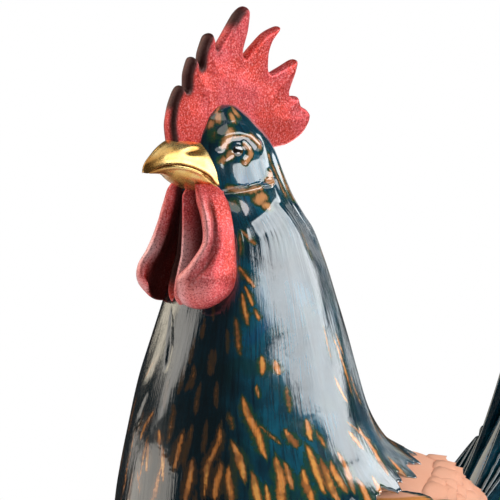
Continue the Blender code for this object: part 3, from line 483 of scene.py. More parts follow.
# %% Node shorthand
class Recipe:
    """A material's node tree with short words for the nodes a glaze needs."""

    def __init__(self, name):
        self.material = bpy.data.materials.new(name)
        self.material.use_nodes = True
        self.tree = self.material.node_tree
        self.shader = self.tree.nodes["Principled BSDF"]

    def add(self, kind, **settings):
        node = self.tree.nodes.new("ShaderNode" + kind)
        for key, value in settings.items():
            setattr(node, key, value)
        return node

    def wire(self, source, target):
        self.tree.links.new(source, target)

    def put(self, socket, value):
        if isinstance(value, bpy.types.NodeSocket):
            self.tree.links.new(value, socket)
        else:
            socket.default_value = value

    def math(self, operation, first, second):
        node = self.add("Math", operation=operation)
        self.put(node.inputs[0], first)
        self.put(node.inputs[1], second)
        return node.outputs[0]

    def times(self, first, second):
        return self.math("MULTIPLY", first, second)

    def sway(self, noise, amount, middle=0.5):
        """A noise as a small addition that goes both ways."""
        return self.times(self.math("SUBTRACT", noise, middle), amount)

    def paint(self, label):
        return self.add("Attribute", attribute_name=label).outputs["Fac"]

    def place(self, kind="Object", scale=(1, 1, 1)):
        where = self.add("UVMap", uv_map="along").outputs["UV"] if kind == "UV" else None
        where = where or self.add("TexCoord").outputs["Object"]
        node = self.add("Mapping")
        node.inputs["Scale"].default_value = scale
        self.wire(where, node.inputs["Vector"])
        return node.outputs["Vector"]

    def noise(self, where, scale, detail=3.0, roughness=0.5, distortion=0.0):
        node = self.add("TexNoise")
        self.wire(where, node.inputs["Vector"])
        node.inputs["Scale"].default_value = scale
        node.inputs["Detail"].default_value = detail
        node.inputs["Roughness"].default_value = roughness
        node.inputs["Distortion"].default_value = distortion
        return node.outputs["Fac"]

    def remap(self, value, low, high, to_low=0.0, to_high=1.0):
        node = self.add("MapRange", interpolation_type="SMOOTHSTEP")
        self.put(node.inputs["Value"], value)
        node.inputs["From Min"].default_value = low
        node.inputs["From Max"].default_value = high
        node.inputs["To Min"].default_value = to_low
        node.inputs["To Max"].default_value = to_high
        return node.outputs["Result"]

    def ramp(self, value, stops):
        node = self.add("ValToRGB")
        node.color_ramp.elements.remove(node.color_ramp.elements[0])
        node.color_ramp.elements[0].position = stops[0][0]
        node.color_ramp.elements[0].color = (*stops[0][1], 1)
        for position, colour in stops[1:]:
            element = node.color_ramp.elements.new(position)
            element.color = (*colour, 1)
        self.wire(value, node.inputs["Fac"])
        return node.outputs["Color"]

    def blend(self, share, first, second):
        node = self.add("Mix", data_type="RGBA", blend_type="MIX")
        self.put(node.inputs[0], share)
        self.put(node.inputs[6], first if not isinstance(first, tuple) else (*first, 1))
        self.put(node.inputs[7], second if not isinstance(second, tuple) else (*second, 1))
        return node.outputs[2]

    def bump(self, height, strength, distance, after=None):
        node = self.add("Bump")
        self.put(node.inputs["Strength"], strength)
        node.inputs["Distance"].default_value = distance
        self.wire(height, node.inputs["Height"])
        if after is not None:
            self.wire(after, node.inputs["Normal"])
        return node.outputs["Normal"]

    def set(self, **values):
        for key, value in values.items():
            self.put(self.shader.inputs[key.replace("_", " ")], value)


print("recipe words:", ", ".join(word for word in vars(Recipe) if not word.startswith("_")))

# %% [markdown]
# The deep glaze is painted wet: navy and teal run into each other, and amber drops are laid over them along
# the feathers, with a green halo where the two glazes melt together. The paint value amber tells how much
# of a drop lies at a point and deep how dark the ground is, and noise frays the drops' edges. A clear coat
# with a high gloss gives the large, sharp reflections of the softbox, and fine barbs along the feather, as
# strong as the paint value plume, break up their edges.


# %% Ground of the deep glaze
def glaze_ground(r, where, cloud, fibre, wide_fibre):
    """Navy and teal in clouds, darker along the barbs and almost black at the front."""
    ground = r.ramp(
        cloud,
        [
            (0.32, (0.0010, 0.022, 0.040)),
            (0.45, (0.0012, 0.060, 0.100)),
            (0.57, (0.0016, 0.122, 0.198)),
            (0.72, (0.0024, 0.105, 0.265)),
        ],
    )
    ground = r.blend(r.remap(r.noise(where, 75.0, 3.0), 0.50, 0.68, 0.0, 0.6), ground, (0.003, 0.060, 0.055))
    ground = r.blend(r.remap(wide_fibre, 0.50, 0.30, 0.0, 0.65), ground, (0.001, 0.010, 0.022))
    ground = r.blend(r.remap(fibre, 0.56, 0.36, 0.0, 0.55), ground, (0.001, 0.008, 0.018))
    # the paint value deep darkens the ground; at the neck's front that is partly the glaze's own dark and
    # partly painted shade
    return r.blend(r.paint("deep"), ground, (0.0012, 0.0075, 0.0105))


print("glaze ground ready")


# %% Streaks of the deep glaze
def glaze_streak(r, where, frayed, fibre):
    """The amber drops: green where they are thin, then brown, then orange, with glowing and umber patches."""
    streak = r.ramp(
        frayed,
        [
            (0.10, (0.003, 0.062, 0.052)),
            (0.32, (0.020, 0.080, 0.036)),
            (0.47, (0.120, 0.080, 0.026)),
            (0.68, (0.560, 0.190, 0.042)),
            (0.90, (0.980, 0.350, 0.075)),
        ],
    )
    hairs = r.times(r.remap(fibre, 0.48, 0.66, 0.0, 0.5), r.remap(frayed, 0.5, 0.8))
    # where the ground is darkened the strokes turn dull brown; at the neck's front that is partly painted
    # shade
    faint = r.times(r.paint("deep"), r.remap(frayed, 0.75, 0.35, 0.40, 0.88))
    glow = r.times(r.remap(r.noise(where, 85.0, 2.0), 0.48, 0.60, 0.0, 0.85), r.remap(frayed, 0.62, 0.95))
    umber = r.times(r.remap(r.noise(where, 120.0, 2.0), 0.50, 0.38, 0.0, 0.65), r.remap(frayed, 0.35, 0.6))
    pale = r.times(r.remap(r.paint("plume"), 0.7, 0.1, 0.0, 0.55), r.remap(frayed, 0.40, 0.70))
    for share, tone in (
        (hairs, (0.930, 0.500, 0.240)),
        (faint, (0.055, 0.018, 0.010)),
        (glow, (1.000, 0.480, 0.110)),
        (umber, (0.200, 0.075, 0.028)),
        (pale, (0.620, 0.340, 0.170)),
    ):
        streak = r.blend(share, streak, tone)
    return streak


print("glaze streaks ready")


# %% Deep glaze
def deep_glaze(name, barbs, barb_height=0.00016):
    """The whole glaze. Barbs says how many barbs lie across and along the piece's own map."""
    r = Recipe(name)
    where = r.place()
    fibre = r.noise(r.place("UV", barbs), 1.0, 4.0, 0.62)
    wide_fibre = r.noise(r.place("UV", (barbs[0] * 0.3, barbs[1] * 0.5, 1.0)), 1.0, 3.0, 0.6)
    cloud = r.noise(where, 30.0, 4.0, 0.55, 0.6)
    mottle = r.noise(where, 520.0, 3.0, 0.6)
    loose = r.math("ADD", r.sway(fibre, 0.34), r.sway(wide_fibre, 0.42))
    loose = r.math("ADD", loose, r.sway(mottle, 0.75, middle=0.52))
    amber = r.paint("amber")
    frayed = r.times(r.math("ADD", amber, loose), r.remap(amber, 0.02, 0.22))
    ground = glaze_ground(r, where, cloud, fibre, wide_fibre)
    colour = r.blend(r.remap(frayed, 0.06, 0.22), ground, glaze_streak(r, where, frayed, fibre))
    r.set(Base_Color=colour, Roughness=0.18, IOR=1.5, Coat_Weight=1.0, Coat_Roughness=0.03, Coat_IOR=2.0)
    plume = r.paint("plume")
    normal = r.bump(cloud, 0.22, 0.0010)
    normal = r.bump(wide_fibre, r.times(plume, 0.5), barb_height * 2.0, normal)
    normal = r.bump(fibre, r.times(plume, 0.7), barb_height, normal)
    r.wire(normal, r.shader.inputs["Normal"])
    r.wire(normal, r.shader.inputs["Coat Normal"])
    return r.material


hackle_glaze = deep_glaze("hackle_glaze", (250.0, 9.0, 1.0))
tail_glaze = deep_glaze("tail_glaze", (24.0, 40.0, 1.0), 0.00012)
print("deep glazes ready")

# %% [markdown]
# Red lustre is metal dust in a red glaze. It looks like fine sanded paper, with a pink sheen where the
# softbox catches it and dark brown in the places that face the flag. It is part metal, rough, and its
# grain is a very fine noise in the colour, the bump and the roughness. Paler pink is painted on as
# highlights on the wattles and the throat's pleat, and near-black brown as painted shade in the folds, on
# the wattles' inner faces and on the comb's front edges. A pure metal would turn black at the edges, and a
# pure paint would never give the pink.

# %% Red lustre
r = Recipe("red_lustre_finish")
where = r.place()
grain = r.noise(where, 1250.0, 2.0, 0.7)
sand = r.noise(where, 620.0, 2.0, 0.6)
blush = r.noise(where, 48.0, 3.0, 0.6)
colour = r.blend(r.remap(blush, 0.40, 0.62), (0.78, 0.062, 0.040), (0.82, 0.098, 0.105))
# painted highlight: paler pink on the wattles' front crests and lower lobes and on the throat's pleat
colour = r.blend(r.times(r.paint("bloom"), 0.60), colour, (0.96, 0.34, 0.32))
colour = r.blend(r.remap(grain, 0.52, 0.64, 0.0, 0.55), colour, (0.98, 0.42, 0.43))
# painted sheen: a pale pink highlight on the far wattle's front edge, the wattles' crests and the throat's
# pleat
colour = r.blend(r.times(r.paint("sheen"), 0.85), colour, (1.0, 0.62, 0.62))
colour = r.blend(r.remap(grain, 0.48, 0.36, 0.0, 0.62), colour, (0.30, 0.012, 0.014))
# painted shade: near-black brown in the folds, on the wattles' inner faces and on the comb's front edges
colour = r.blend(r.times(r.paint("fold"), 0.94), colour, (0.016, 0.009, 0.007))
r.set(Base_Color=colour, Metallic=0.58, IOR=1.5, Coat_Weight=0.10, Coat_Roughness=0.35)
r.wire(r.remap(grain, 0.2, 0.8, 0.34, 0.52), r.shader.inputs["Roughness"])
normal = r.bump(grain, 0.60, 0.00014)
normal = r.bump(sand, 0.55, 0.00026, normal)
normal = r.bump(blush, 0.35, 0.0012, normal)
r.wire(normal, r.shader.inputs["Normal"])
red_lustre = r.material
print("red lustre ready")

# %% [markdown]
# Gilding is burnished gold laid by brush over the glaze: a true metal, bright but not a mirror, with faint
# brush lines and painted shade in a darker brown in the hollows.

# %% Gilding
r = Recipe("burnished_gold")
where = r.place()
brush = r.noise(r.place("Object", (1.0, 0.25, 1.0)), 900.0, 3.0, 0.6)
cloud = r.noise(where, 130.0, 3.0)
colour = r.blend(r.remap(cloud, 0.35, 0.68), (0.90, 0.52, 0.15), (1.0, 0.72, 0.30))
# painted shade: darker brown in the beak's hollows and under it, towards its tip, at the scales' steps and at
# the bottom of the feet
colour = r.blend(r.times(r.paint("fold"), 0.85), colour, (0.36, 0.125, 0.022))
r.set(Base_Color=colour, Metallic=0.88)
r.wire(r.remap(brush, 0.3, 0.75, 0.23, 0.32), r.shader.inputs["Roughness"])
normal = r.bump(brush, 0.15, 0.00003)
normal = r.bump(cloud, 0.15, 0.0005, normal)
r.wire(normal, r.shader.inputs["Normal"])
gilding = r.material
print("gilding ready")

# %% [markdown]
# The body is matt bisque sprayed peach. Spray leaves a soft cloud and a very fine tooth. The wings take
# more colours over it: amber quills, then teal towards the tips of the long feathers.

# %% Matt peach
r = Recipe("peach_bisque")
where = r.place()
cloud = r.noise(where, 22.0, 4.0)
tooth = r.noise(where, 1400.0, 2.0, 0.6)
fray = r.noise(r.place("UV", (160.0, 9.0, 1.0)), 1.0, 3.0, 0.6)
colour = r.blend(r.remap(cloud, 0.30, 0.70), (0.90, 0.42, 0.26), (0.93, 0.47, 0.31))
colour = r.blend(r.remap(tooth, 0.45, 0.75, 0.0, 0.10), colour, (1.0, 0.66, 0.50))
# painted shade: darker peach where the trunk goes under the cape, low on the thighs and between the wing
# feathers
colour = r.blend(r.times(r.paint("fold"), 0.65), colour, (0.52, 0.19, 0.09))
tone_mark = r.math("ADD", r.paint("amber"), r.sway(fray, 0.5))
colour = r.blend(r.remap(tone_mark, 0.22, 0.62), colour, (0.72, 0.27, 0.055))
deep = r.math("ADD", r.paint("teal"), r.sway(fray, 0.6))
colour = r.blend(r.remap(deep, 0.34, 0.58), colour, (0.10, 0.10, 0.035))
colour = r.blend(r.remap(deep, 0.46, 0.72), colour, (0.003, 0.045, 0.070))
r.set(Base_Color=colour, IOR=1.45)
r.wire(r.remap(deep, 0.45, 0.70, 0.56, 0.16), r.shader.inputs["Roughness"])
normal = r.bump(tooth, 0.20, 0.00008)
normal = r.bump(fray, 0.30, 0.00022, normal)
r.wire(normal, r.shader.inputs["Normal"])
peach = r.material
print("peach bisque ready")

# %% [markdown]
# The eye is a ball of glossy dark glaze with a warm brown iris round a black pupil. The iris is drawn by
# distance from the eye's own front, which the mesh carries as paint. The base is unglazed stony clay, with
# moss colour rubbed into it here and there.

# %% Eye finish
r = Recipe("eye_finish")
flecks = r.noise(r.place(), 900.0, 2.0)
iris = r.ramp(
    r.paint("gaze"),
    [
        (0.30, (0.002, 0.002, 0.002)),
        (0.38, (0.040, 0.022, 0.004)),
        (0.55, (0.130, 0.075, 0.012)),
        (0.72, (0.050, 0.024, 0.006)),
        (0.86, (0.004, 0.003, 0.003)),
    ],
)
colour = r.blend(r.remap(flecks, 0.45, 0.7, 0.0, 0.4), iris, (0.030, 0.010, 0.002))
r.set(Base_Color=colour, Roughness=0.04, IOR=1.5, Coat_Weight=1.0, Coat_Roughness=0.02, Coat_IOR=2.8)
eye_finish = r.material
print("eye finish ready")

# %% Stone finish
r = Recipe("stone_finish")
where = r.place()
strata = r.noise(where, 26.0, 6.0, 0.6)
grit = r.noise(where, 700.0, 3.0, 0.7)
colour = r.blend(r.remap(strata, 0.32, 0.70), (0.50, 0.36, 0.23), (0.78, 0.66, 0.50))
# painted shade: darker in the base's cracks and hollows
colour = r.blend(r.times(r.paint("fold"), 0.8), colour, (0.20, 0.15, 0.07))
colour = r.blend(r.remap(r.noise(where, 48.0, 5.0), 0.56, 0.68, 0.0, 0.6), colour, (0.20, 0.24, 0.08))
colour = r.blend(r.remap(grit, 0.55, 0.8, 0.0, 0.35), colour, (0.90, 0.84, 0.72))
r.set(Base_Color=colour)
r.wire(r.remap(strata, 0.3, 0.7, 0.62, 0.84), r.shader.inputs["Roughness"])
normal = r.bump(grit, 0.5, 0.0003)
normal = r.bump(strata, 0.5, 0.0020, normal)
r.wire(normal, r.shader.inputs["Normal"])
stone = r.material
print("materials:", len(bpy.data.materials))

# %% [markdown]
# The head and the hackle cape are one casting and are here one skin. Its points are counted in two
# numbers: the turn round the neck, 0 at the front and a quarter at the bird's left, and the fall below the
# crown. All modelling and all painting on it is done in those two numbers, as a decorator works round and
# down a figure on a turntable.


# %% The neck's form
squeeze = JAW_FALL / MM / HEAD_SECTIONS[-1][0]
COLUMN_SECTIONS = [(row[0] * squeeze, *row[1:], 0.0) for row in HEAD_SECTIONS[:-1]] + [
    (JAW_FALL / MM + row[0] * NECK_LENGTH / MM, *row[1:]) for row in NECK_SECTIONS
]


def neck_point(turn, fall, lift):
    """Points of the neck for arrays of turns, falls and lifts off the surface, in metres."""
    width, front, back, tilt = np.moveaxis(along_table(COLUMN_SECTIONS, fall / MM), -1, 0)
    tilt = tilt * CAPE_TILT
    middle, depth = (back - front) / 2 * MM, (back + front) / 2 * MM
    reach = middle - np.cos(turn) * (depth + lift)
    across = np.sin(turn) * (width * MM + lift)
    return np.stack(
        [across, NECK_AXIS_Y + reach * np.cos(tilt), CROWN_HEIGHT - fall + reach * np.sin(tilt)], axis=-1
    )


def jaw_edge(turn):
    """The lower edge of the face, which climbs towards the nape."""
    return JAW_FALL - 1.5 * MM - 16 * MM * (0.5 - 0.5 * np.cos(turn))


def cape_hem(turn):
    """The ragged hem: 24 locks, each split into finer pointed feather tips."""
    lock = np.cos(turn * LOCKS + math.pi)
    point = 1 - np.abs(np.sin(turn * LOCKS + 0.9 * np.sin(turn * 7)))
    fine = 1 - np.abs(np.sin(turn * LOCKS * 1.5 + 1.3 + 0.6 * np.sin(turn * 5)))
    hem = CROWN_HEIGHT - CAPE_HEIGHT - LOCK_TIP
    return hem + 3.0 * MM * lock + 3.4 * MM * (point - 0.5) + 3.0 * MM * (fine - 0.5)


print("hem at the front, mm above the ground:", round((CROWN_HEIGHT - float(cape_hem(0.0))) / MM, 1))

# %% [markdown]
# Feathers in relief. Each hackle is a long drop that starts flush with the neck and stands proud at its
# pointed tip, laid like roof tiles in rows that alternate. The same rule paints the amber drops, smaller
# and thinned out towards the top and the front, where the real bird is almost black.


# %% Rows of drops over a surface
def drops(across, along, rows, seed, soft=False):
    """The strongest of many drop shapes at each point. Across in radians, along in millimetres."""
    rng = np.random.default_rng(seed)
    best = np.zeros_like(along)
    for row in rows:
        shift = rng.random()
        for index in range(row["count"]):
            centre = (index + shift + rng.uniform(-1, 1) * row["jitter"]) / row["count"] * 2 * math.pi
            centre = (centre + math.pi) % (2 * math.pi) - math.pi
            tip = row["tip"] + rng.uniform(-1, 1) * row["stagger"]
            length = row["length"] * rng.uniform(0.65, 1.3)
            wide = row["width"] * rng.uniform(0.75, 1.25)
            power = rng.uniform(0.7, 1.0) * row["power"](centre)
            lean = rng.uniform(-1, 1) * row["lean"] + row["slant"](centre)
            bend = rng.uniform(-1, 1) * row["lean"] * 2.0
            if rng.random() > row["chance"](centre):
                continue
            off = (across - centre + math.pi) % (2 * math.pi) - math.pi
            down = (along - tip + length) / length
            near = (np.abs(off) < 0.6) & (down > 0) & (down < 1)
            if not near.any():
                continue
            s = down[near]
            path = lean * length * (s - 0.5) + bend * length * (s - 0.5) ** 2
            side = np.abs(off[near] * row["girth"] - path)
            if soft:
                half = wide * np.sin(math.pi * np.clip(s, 0, 1) ** 1.2) ** 0.6 + 1e-6
                value = power * np.clip(1 - (side / (1.9 * half)) ** 2, 0, 1)
                value = value * smoothstep(0, 0.2, s) * smoothstep(1, 0.88, s)
            else:
                half = wide * smoothstep(-0.1, 0.5, s)
                value = power * smoothstep(0.0, 0.75, s) * smoothstep(1.0, 0.80, s)
                value = value * np.clip(1 - (side / half) ** 2, 0, 1) ** 1.2
            best[near] = np.maximum(best[near], value)
    return best


def girth_at(fall):
    """How many millimetres one radian round the neck measures at that fall."""
    width, front, back, _ = along_table(NECK_SECTIONS, (fall * MM - JAW_FALL) / NECK_LENGTH)
    return float(width + (front + back) / 2) / 2


def feather_rows():
    """Rows of the long drops that stand in relief, alike all round."""
    even = dict(chance=lambda turn: 1.0, power=lambda turn: 1.0, slant=lambda turn: 0.0)
    rows = []
    for tip in range(80, 200, 12):
        width = girth_at(tip) * 2 * math.pi / LOCKS * 0.66
        form = dict(length=32.0, width=width, girth=girth_at(tip - 12))
        rows.append(dict(count=LOCKS, tip=tip, stagger=3.5, jitter=0.20, lean=0.05, **form, **even))
    return rows


def slant_at(turn):
    """Strokes lean away from the throat, a little at the front and more towards the side."""
    degrees = math.degrees(turn)
    return math.copysign(0.16 * float(np.clip((abs(degrees) - 22) / 30, -0.5, 1.0)), degrees)


def amber_rows():
    """Rows of amber strokes: few and faint below the face, many and long above the hem."""
    rows = []
    for tip in (70, 78, 87, 96, 106, 116, 126, 136, 145, 153, 161, 169, 177, 184, 191):
        low = smoothstep(116, 158, tip)

        def chance(turn, low=low, tip=tip):
            nape = smoothstep(math.radians(92), math.radians(104), abs(turn))
            throat = smoothstep(math.radians(56), math.radians(44), abs(turn)) * smoothstep(112, 92, tip)
            return float(0.12 + 0.36 * nape + 0.45 * throat + (0.56 - 0.2 * nape) * low)

        def power(turn, low=low):
            front = smoothstep(math.radians(46), math.radians(26), abs(turn))
            return float(1.0 - front * (0.66 - 0.40 * low))

        form = dict(length=13.5 + 4.0 * low, width=0.85 + 0.45 * low, girth=girth_at(tip - 8))
        rule = dict(chance=chance, power=power, slant=slant_at)
        rows.append(dict(count=34, tip=tip, stagger=5.5, jitter=0.45, lean=0.14, **form, **rule))
    return rows


print("rows of hackles:", len(feather_rows()), "rows of amber drops:", len(amber_rows()))

# %% [markdown]
# The face is modelled with soft ridges and hollows, placed by turn and fall like everything else: the brow
# that arches over the eye, the socket, the lid behind it, the cheek with its raised lower lip and the jaw
# whose edge overlaps the hackles. Each is a stroke, a ridge with rounded flanks that follows a line.


# %% Strokes on the face
def stroke(turn, fall, line, width):
    """How close each point lies to a line of (turn in degrees, fall in mm): 1 on it, 0 at the width (mm)."""
    scale = 19.0  # millimetres per radian near the eye
    px, py = np.abs(turn) * scale, fall
    best = np.full(turn.shape, 1e9)
    points = [(math.radians(t) * scale, f) for t, f in line]
    if len(points) == 1:
        best = np.hypot(px - points[0][0], py - points[0][1])
    for (ax, ay), (bx, by) in zip(points, points[1:]):
        dx, dy = bx - ax, by - ay
        share = np.clip(((px - ax) * dx + (py - ay) * dy) / (dx * dx + dy * dy), 0, 1)
        best = np.minimum(best, np.hypot(px - ax - share * dx, py - ay - share * dy))
    return np.clip(1 - best / width, 0, 1)


EYE_TURN, EYE_FALL = 68.0, 19.5
BROW = [(44, 16.5), (52, 13.4), (62, 11.8), (76, 11.4), (90, 12.8), (100, 17.0)]
LID = [(79, 16.4), (84, 18.8), (83, 21.6), (76, 24.0)]
EAR_CURL = [(90, 34.2), (98, 34.2), (106, 32.2), (109, 29.6)]


def face_edge(turn):
    """The fall (mm) of the face's own lower edge, which climbs towards the ear."""
    return 53.6 - 0.19 * (np.clip(np.degrees(np.abs(turn)), 36, 100) - 41)


def face_relief(turn, fall):
    """Height of the modelling on the face, in millimetres."""
    degrees = np.degrees(np.abs(turn))
    side = smoothstep(34, 50, degrees) * smoothstep(122, 100, degrees)
    from_eye = 9.0 * (1 - stroke(turn, fall, [(EYE_TURN, EYE_FALL)], 9.0))
    high = 1.3 * smoothstep(0, 1, stroke(turn, fall, BROW, 4.4))
    temple = smoothstep(34, 50, degrees) * smoothstep(146, 126, degrees)
    socket = 0.5 + (np.hypot(fall - 12.5, 1.3) - np.hypot(fall - 24.0, 1.3)) / 23.0
    high -= 2.0 * socket * temple
    high += 0.30 * mound(from_eye, 3.0, 0.8) * smoothstep(21.0, 16.5, fall)
    high += 0.9 * smoothstep(0, 1, stroke(turn, fall, LID, 2.0))
    high += 0.5 * smoothstep(0, 1, stroke(turn, fall, [(50, 22.8), (60, 20.6)], 2.0))
    lip = 35.4 - 0.075 * (degrees - 60)
    cheek = (0.35 + 1.00 * smoothstep(78, 54, degrees)) * np.clip((fall - 24.0) / 10.0, 0, 1)
    high += side * np.where(fall < lip, cheek, 0.0)
    jaw = np.clip((face_edge(turn) - fall) / 15.0, 0, 1)
    past_lip = fall - lip
    step = 0.35 + 0.5 * smoothstep(0, 2.0, past_lip) - 0.9 * smoothstep(0.7, 0, past_lip)
    high += side * np.where(fall < lip, 0.0, step)
    high += side * smoothstep(0.2, 2.2, past_lip) * (2.4 * jaw - 0.4)
    high += 1.65 * side * smoothstep(face_edge(turn) - 2.0, face_edge(turn) + 8.0, fall)
    high += 1.2 * smoothstep(0, 1, stroke(turn, fall, EAR_CURL, 2.4))
    return high


# each stroke: a line of (turn in degrees, fall in mm), half its width (mm) and its strength
AMBER_STROKES = [
    ([(64, 10.5), (60, 12.5), (55, 15.0), (52, 17.0)], 1.45, 0.80),
    ([(66, 13.4), (74, 12.8), (86, 12.8)], 0.70, 0.65),
    ([(92, 13.4), (99, 15.4), (102, 18.0)], 1.05, 0.85),
    ([(80, 16.8), (85, 18.8), (86, 20.4), (81, 23.0), (74, 24.8)], 0.95, 0.95),
    ([(59, 20.6), (56, 21.8)], 1.15, 0.95),
    ([(50, 22.8), (46, 23.6)], 1.25, 0.66),
    ([(38, 1.4)], 1.5, 0.75),
    ([(88, 2.6)], 1.8, 0.85),
    ([(74, 4.8)], 1.8, 0.85),
    ([(44, 4.8)], 1.7, 0.9),
    ([(30, 7.6)], 1.7, 0.85),
    ([(36, 12.4)], 2.1, 0.42),
    ([(110, 29.8), (105, 32.0), (99, 33.6)], 1.15, 0.90),
    ([(50, 35.6), (60, 36.8), (70, 37.0), (82, 35.8)], 1.15, 0.72),
    ([(77, 41.2), (83, 39.6)], 1.5, 0.95),
    ([(84, 43.8)], 1.4, 0.95),
    ([(51, 42.6)], 2.0, 0.38),
    ([(120, 22.0), (124, 30.0), (126, 40.0)], 1.1, 0.55),
    ([(136, 28.0), (140, 42.0)], 1.2, 0.55),
    ([(152, 34.0), (156, 44.0)], 1.2, 0.6),
]


def face_amber(turn, fall):
    """The brush strokes of the face as one field."""
    total = np.zeros_like(fall)
    for line, half, power in AMBER_STROKES:
        distance = 12.0 * (1 - stroke(turn, fall, line, 12.0))
        total = np.maximum(total, power * np.clip(1.15 - 1.15 * distance / (2.5 * half), 0, 1))
    return total


print("brush strokes on the face:", len(AMBER_STROKES))

# %% [markdown]
# The shown side of the neck gets placed strokes as well. Each is a line of a few places with a pointed width,
# so a stroke can bend as the brush did. The same helper cuts the grooves between the feathers at the front.
# A drawn image would be easier to paint, but lines with widths stay sharp at any size.

# %% Strokes on the shown side of the neck
# each stroke: its line of (turn in degrees, fall in mm) from top to bottom, half its width (mm), its strength
NECK_STROKES = [
    ([(48, 54), (52, 57), (57, 60)], 1.3, 0.6), ([(46, 54), (45, 65)], 0.9, 0.5),
    ([(48, 73), (54, 78)], 0.9, 0.8), ([(44, 70), (50, 75)], 0.9, 0.7), ([(48, 78), (53, 86)], 0.6, 1.0),
    ([(46, 80), (50, 95)], 0.8, 0.85), ([(54, 88), (57, 92)], 0.6, 0.9), ([(42, 90), (46, 108)], 0.9, 0.6),
    ([(58, 108), (58, 115)], 0.9, 1.0), ([(65, 110), (67, 115)], 1.0, 1.0),
    ([(55, 120), (56, 124)], 0.6, 0.8), ([(71, 120), (71, 131)], 1.0, 0.6),
    ([(47, 122), (50, 130), (55, 139), (58, 149)], 1.2, 1.0), ([(55, 135), (65, 143)], 0.7, 0.7),
    ([(79, 135), (80, 143)], 1.0, 1.0), ([(68, 138), (72, 145)], 1.1, 1.0),
    ([(83, 140), (87, 148)], 0.8, 0.7), ([(76, 143), (79, 152), (80, 167)], 1.25, 1.0),
    ([(91, 148), (94, 157), (92, 171)], 1.1, 0.95), ([(87, 153), (89, 169)], 1.2, 1.0),
    ([(62, 145), (63, 157), (61, 172)], 1.4, 1.0), ([(66, 150), (67, 161)], 1.0, 0.9),
    ([(73, 153), (74, 171)], 1.2, 1.0), ([(83, 150), (84, 172)], 1.2, 1.0),
    ([(42, 140), (46, 146), (48, 156)], 1.2, 1.0), ([(38, 132), (37, 140), (32, 149), (30, 161)], 1.1, 0.9),
    ([(41, 130), (43, 136)], 0.8, 0.6), ([(38, 148), (35, 161)], 1.2, 1.0),
    ([(41, 149), (42, 163)], 1.1, 0.95), ([(108, 98), (114, 115), (116, 131)], 1.1, 0.75),
    ([(113, 100), (117, 111)], 0.8, 0.7), ([(101, 95), (103, 112)], 0.8, 0.6),
    ([(102, 118), (108, 132)], 0.8, 0.85), ([(109, 54), (110, 69)], 0.8, 0.6),
    ([(136, 64), (135, 80)], 0.9, 0.5), ([(102, 138), (119, 153)], 1.0, 0.85),
    ([(102, 143), (109, 154)], 1.2, 1.0), ([(146, 155), (139, 178)], 1.0, 0.8),
    ([(125, 162), (122, 181)], 1.2, 1.0), ([(29, 105), (30, 116)], 0.9, 0.4),
    ([(20, 112), (20, 121)], 0.8, 0.5), ([(111, 140), (117, 158), (113, 173)], 1.2, 1.0),
    ([(12, 128), (10, 142)], 0.9, 0.5), ([(4, 118), (5, 130)], 0.8, 0.45),
    ([(19, 136), (15, 152)], 1.1, 0.8), ([(-4, 140), (-6, 156)], 1.1, 0.7),
    ([(8, 150), (4, 166)], 1.2, 0.8), ([(25, 146), (22, 163)], 1.1, 0.9),
    ([(120, 118), (124, 136)], 0.9, 0.7), ([(131, 138), (133, 158)], 1.0, 0.8),
    ([(97, 164), (96, 180)], 1.2, 1.0), ([(105, 166), (103, 184)], 1.1, 1.0),
    ([(51, 152), (54, 168)], 1.1, 1.0), ([(56, 156), (58, 172)], 0.9, 0.9),
    ([(4, 138), (5, 143)], 0.9, 0.9), ([(7, 143), (10, 155)], 1.0, 0.9),
    ([(-2, 130), (-9, 138), (-11, 143)], 1.0, 0.8), ([(-11, 110), (-20, 120)], 0.9, 0.7),
    ([(-3, 143), (-1, 153)], 1.0, 0.9), ([(-9, 153), (-4, 160)], 1.0, 0.8),
    ([(31, 105), (31, 115)], 0.8, 0.35), ([(17, 100), (17, 112)], 0.8, 0.35),
    ([(19, 118), (17, 122)], 0.8, 0.35), ([(11, 128), (12, 132)], 0.8, 0.4),
    ([(15, 143), (13, 148)], 0.9, 0.4), ([(27, 84), (28, 93)], 0.7, 0.34),
    ([(22, 92), (22, 101)], 0.7, 0.36), ([(37, 96), (39, 107)], 0.7, 0.36),
    ([(25, 118), (24, 131)], 0.8, 0.36), ([(34, 118), (35, 128)], 0.7, 0.38),
    ([(14, 112), (13, 124)], 0.8, 0.38), ([(23, 134), (20, 150)], 0.9, 0.46),
    ([(31, 132), (29, 145)], 0.7, 0.42), ([(27, 158), (25, 172)], 0.9, 0.5),
]
# grooves between the feathers at the front: the line, half its width (mm), its depth (mm)
FRONT_GROOVES = [
    ([(-12, 88), (-5, 98), (-2, 105), (0, 115)], 0.9, 0.9), ([(-12, 126), (-17, 138)], 0.9, 0.5),
]


def along_line(turn, fall, line, half, wobble=0.004, halo=2.9, glow=0.0):
    """One along a line on the neck, nothing beyond its width, and pointed at both ends."""
    down_neck = (fall * MM - JAW_FALL) / NECK_LENGTH
    width, front, back, _ = np.moveaxis(along_table(NECK_SECTIONS, down_neck), -1, 0)
    girth = (width + (front + back) / 2) / 2
    turns, falls = np.radians([place[0] for place in line]), np.array([place[1] for place in line])
    share = np.clip((fall - falls[0] + 1.5) / (falls[-1] - falls[0] + 3.0), 0, 1)
    middle = np.interp(fall, falls, turns) + wobble * np.sin(fall * 0.45 + falls[0])
    half_here = half * np.sin(math.pi * share**1.15) ** 0.75 + 1e-6
    apart = np.abs(turn - middle) * girth / (halo * half_here)
    near = np.clip(1.15 - 1.15 * apart, 0, 1)
    near = np.maximum(near, glow * np.clip(1.4 - apart / 1.8, 0, 1))
    return near * smoothstep(0, 0.25, share) * smoothstep(1, 0.85, share)


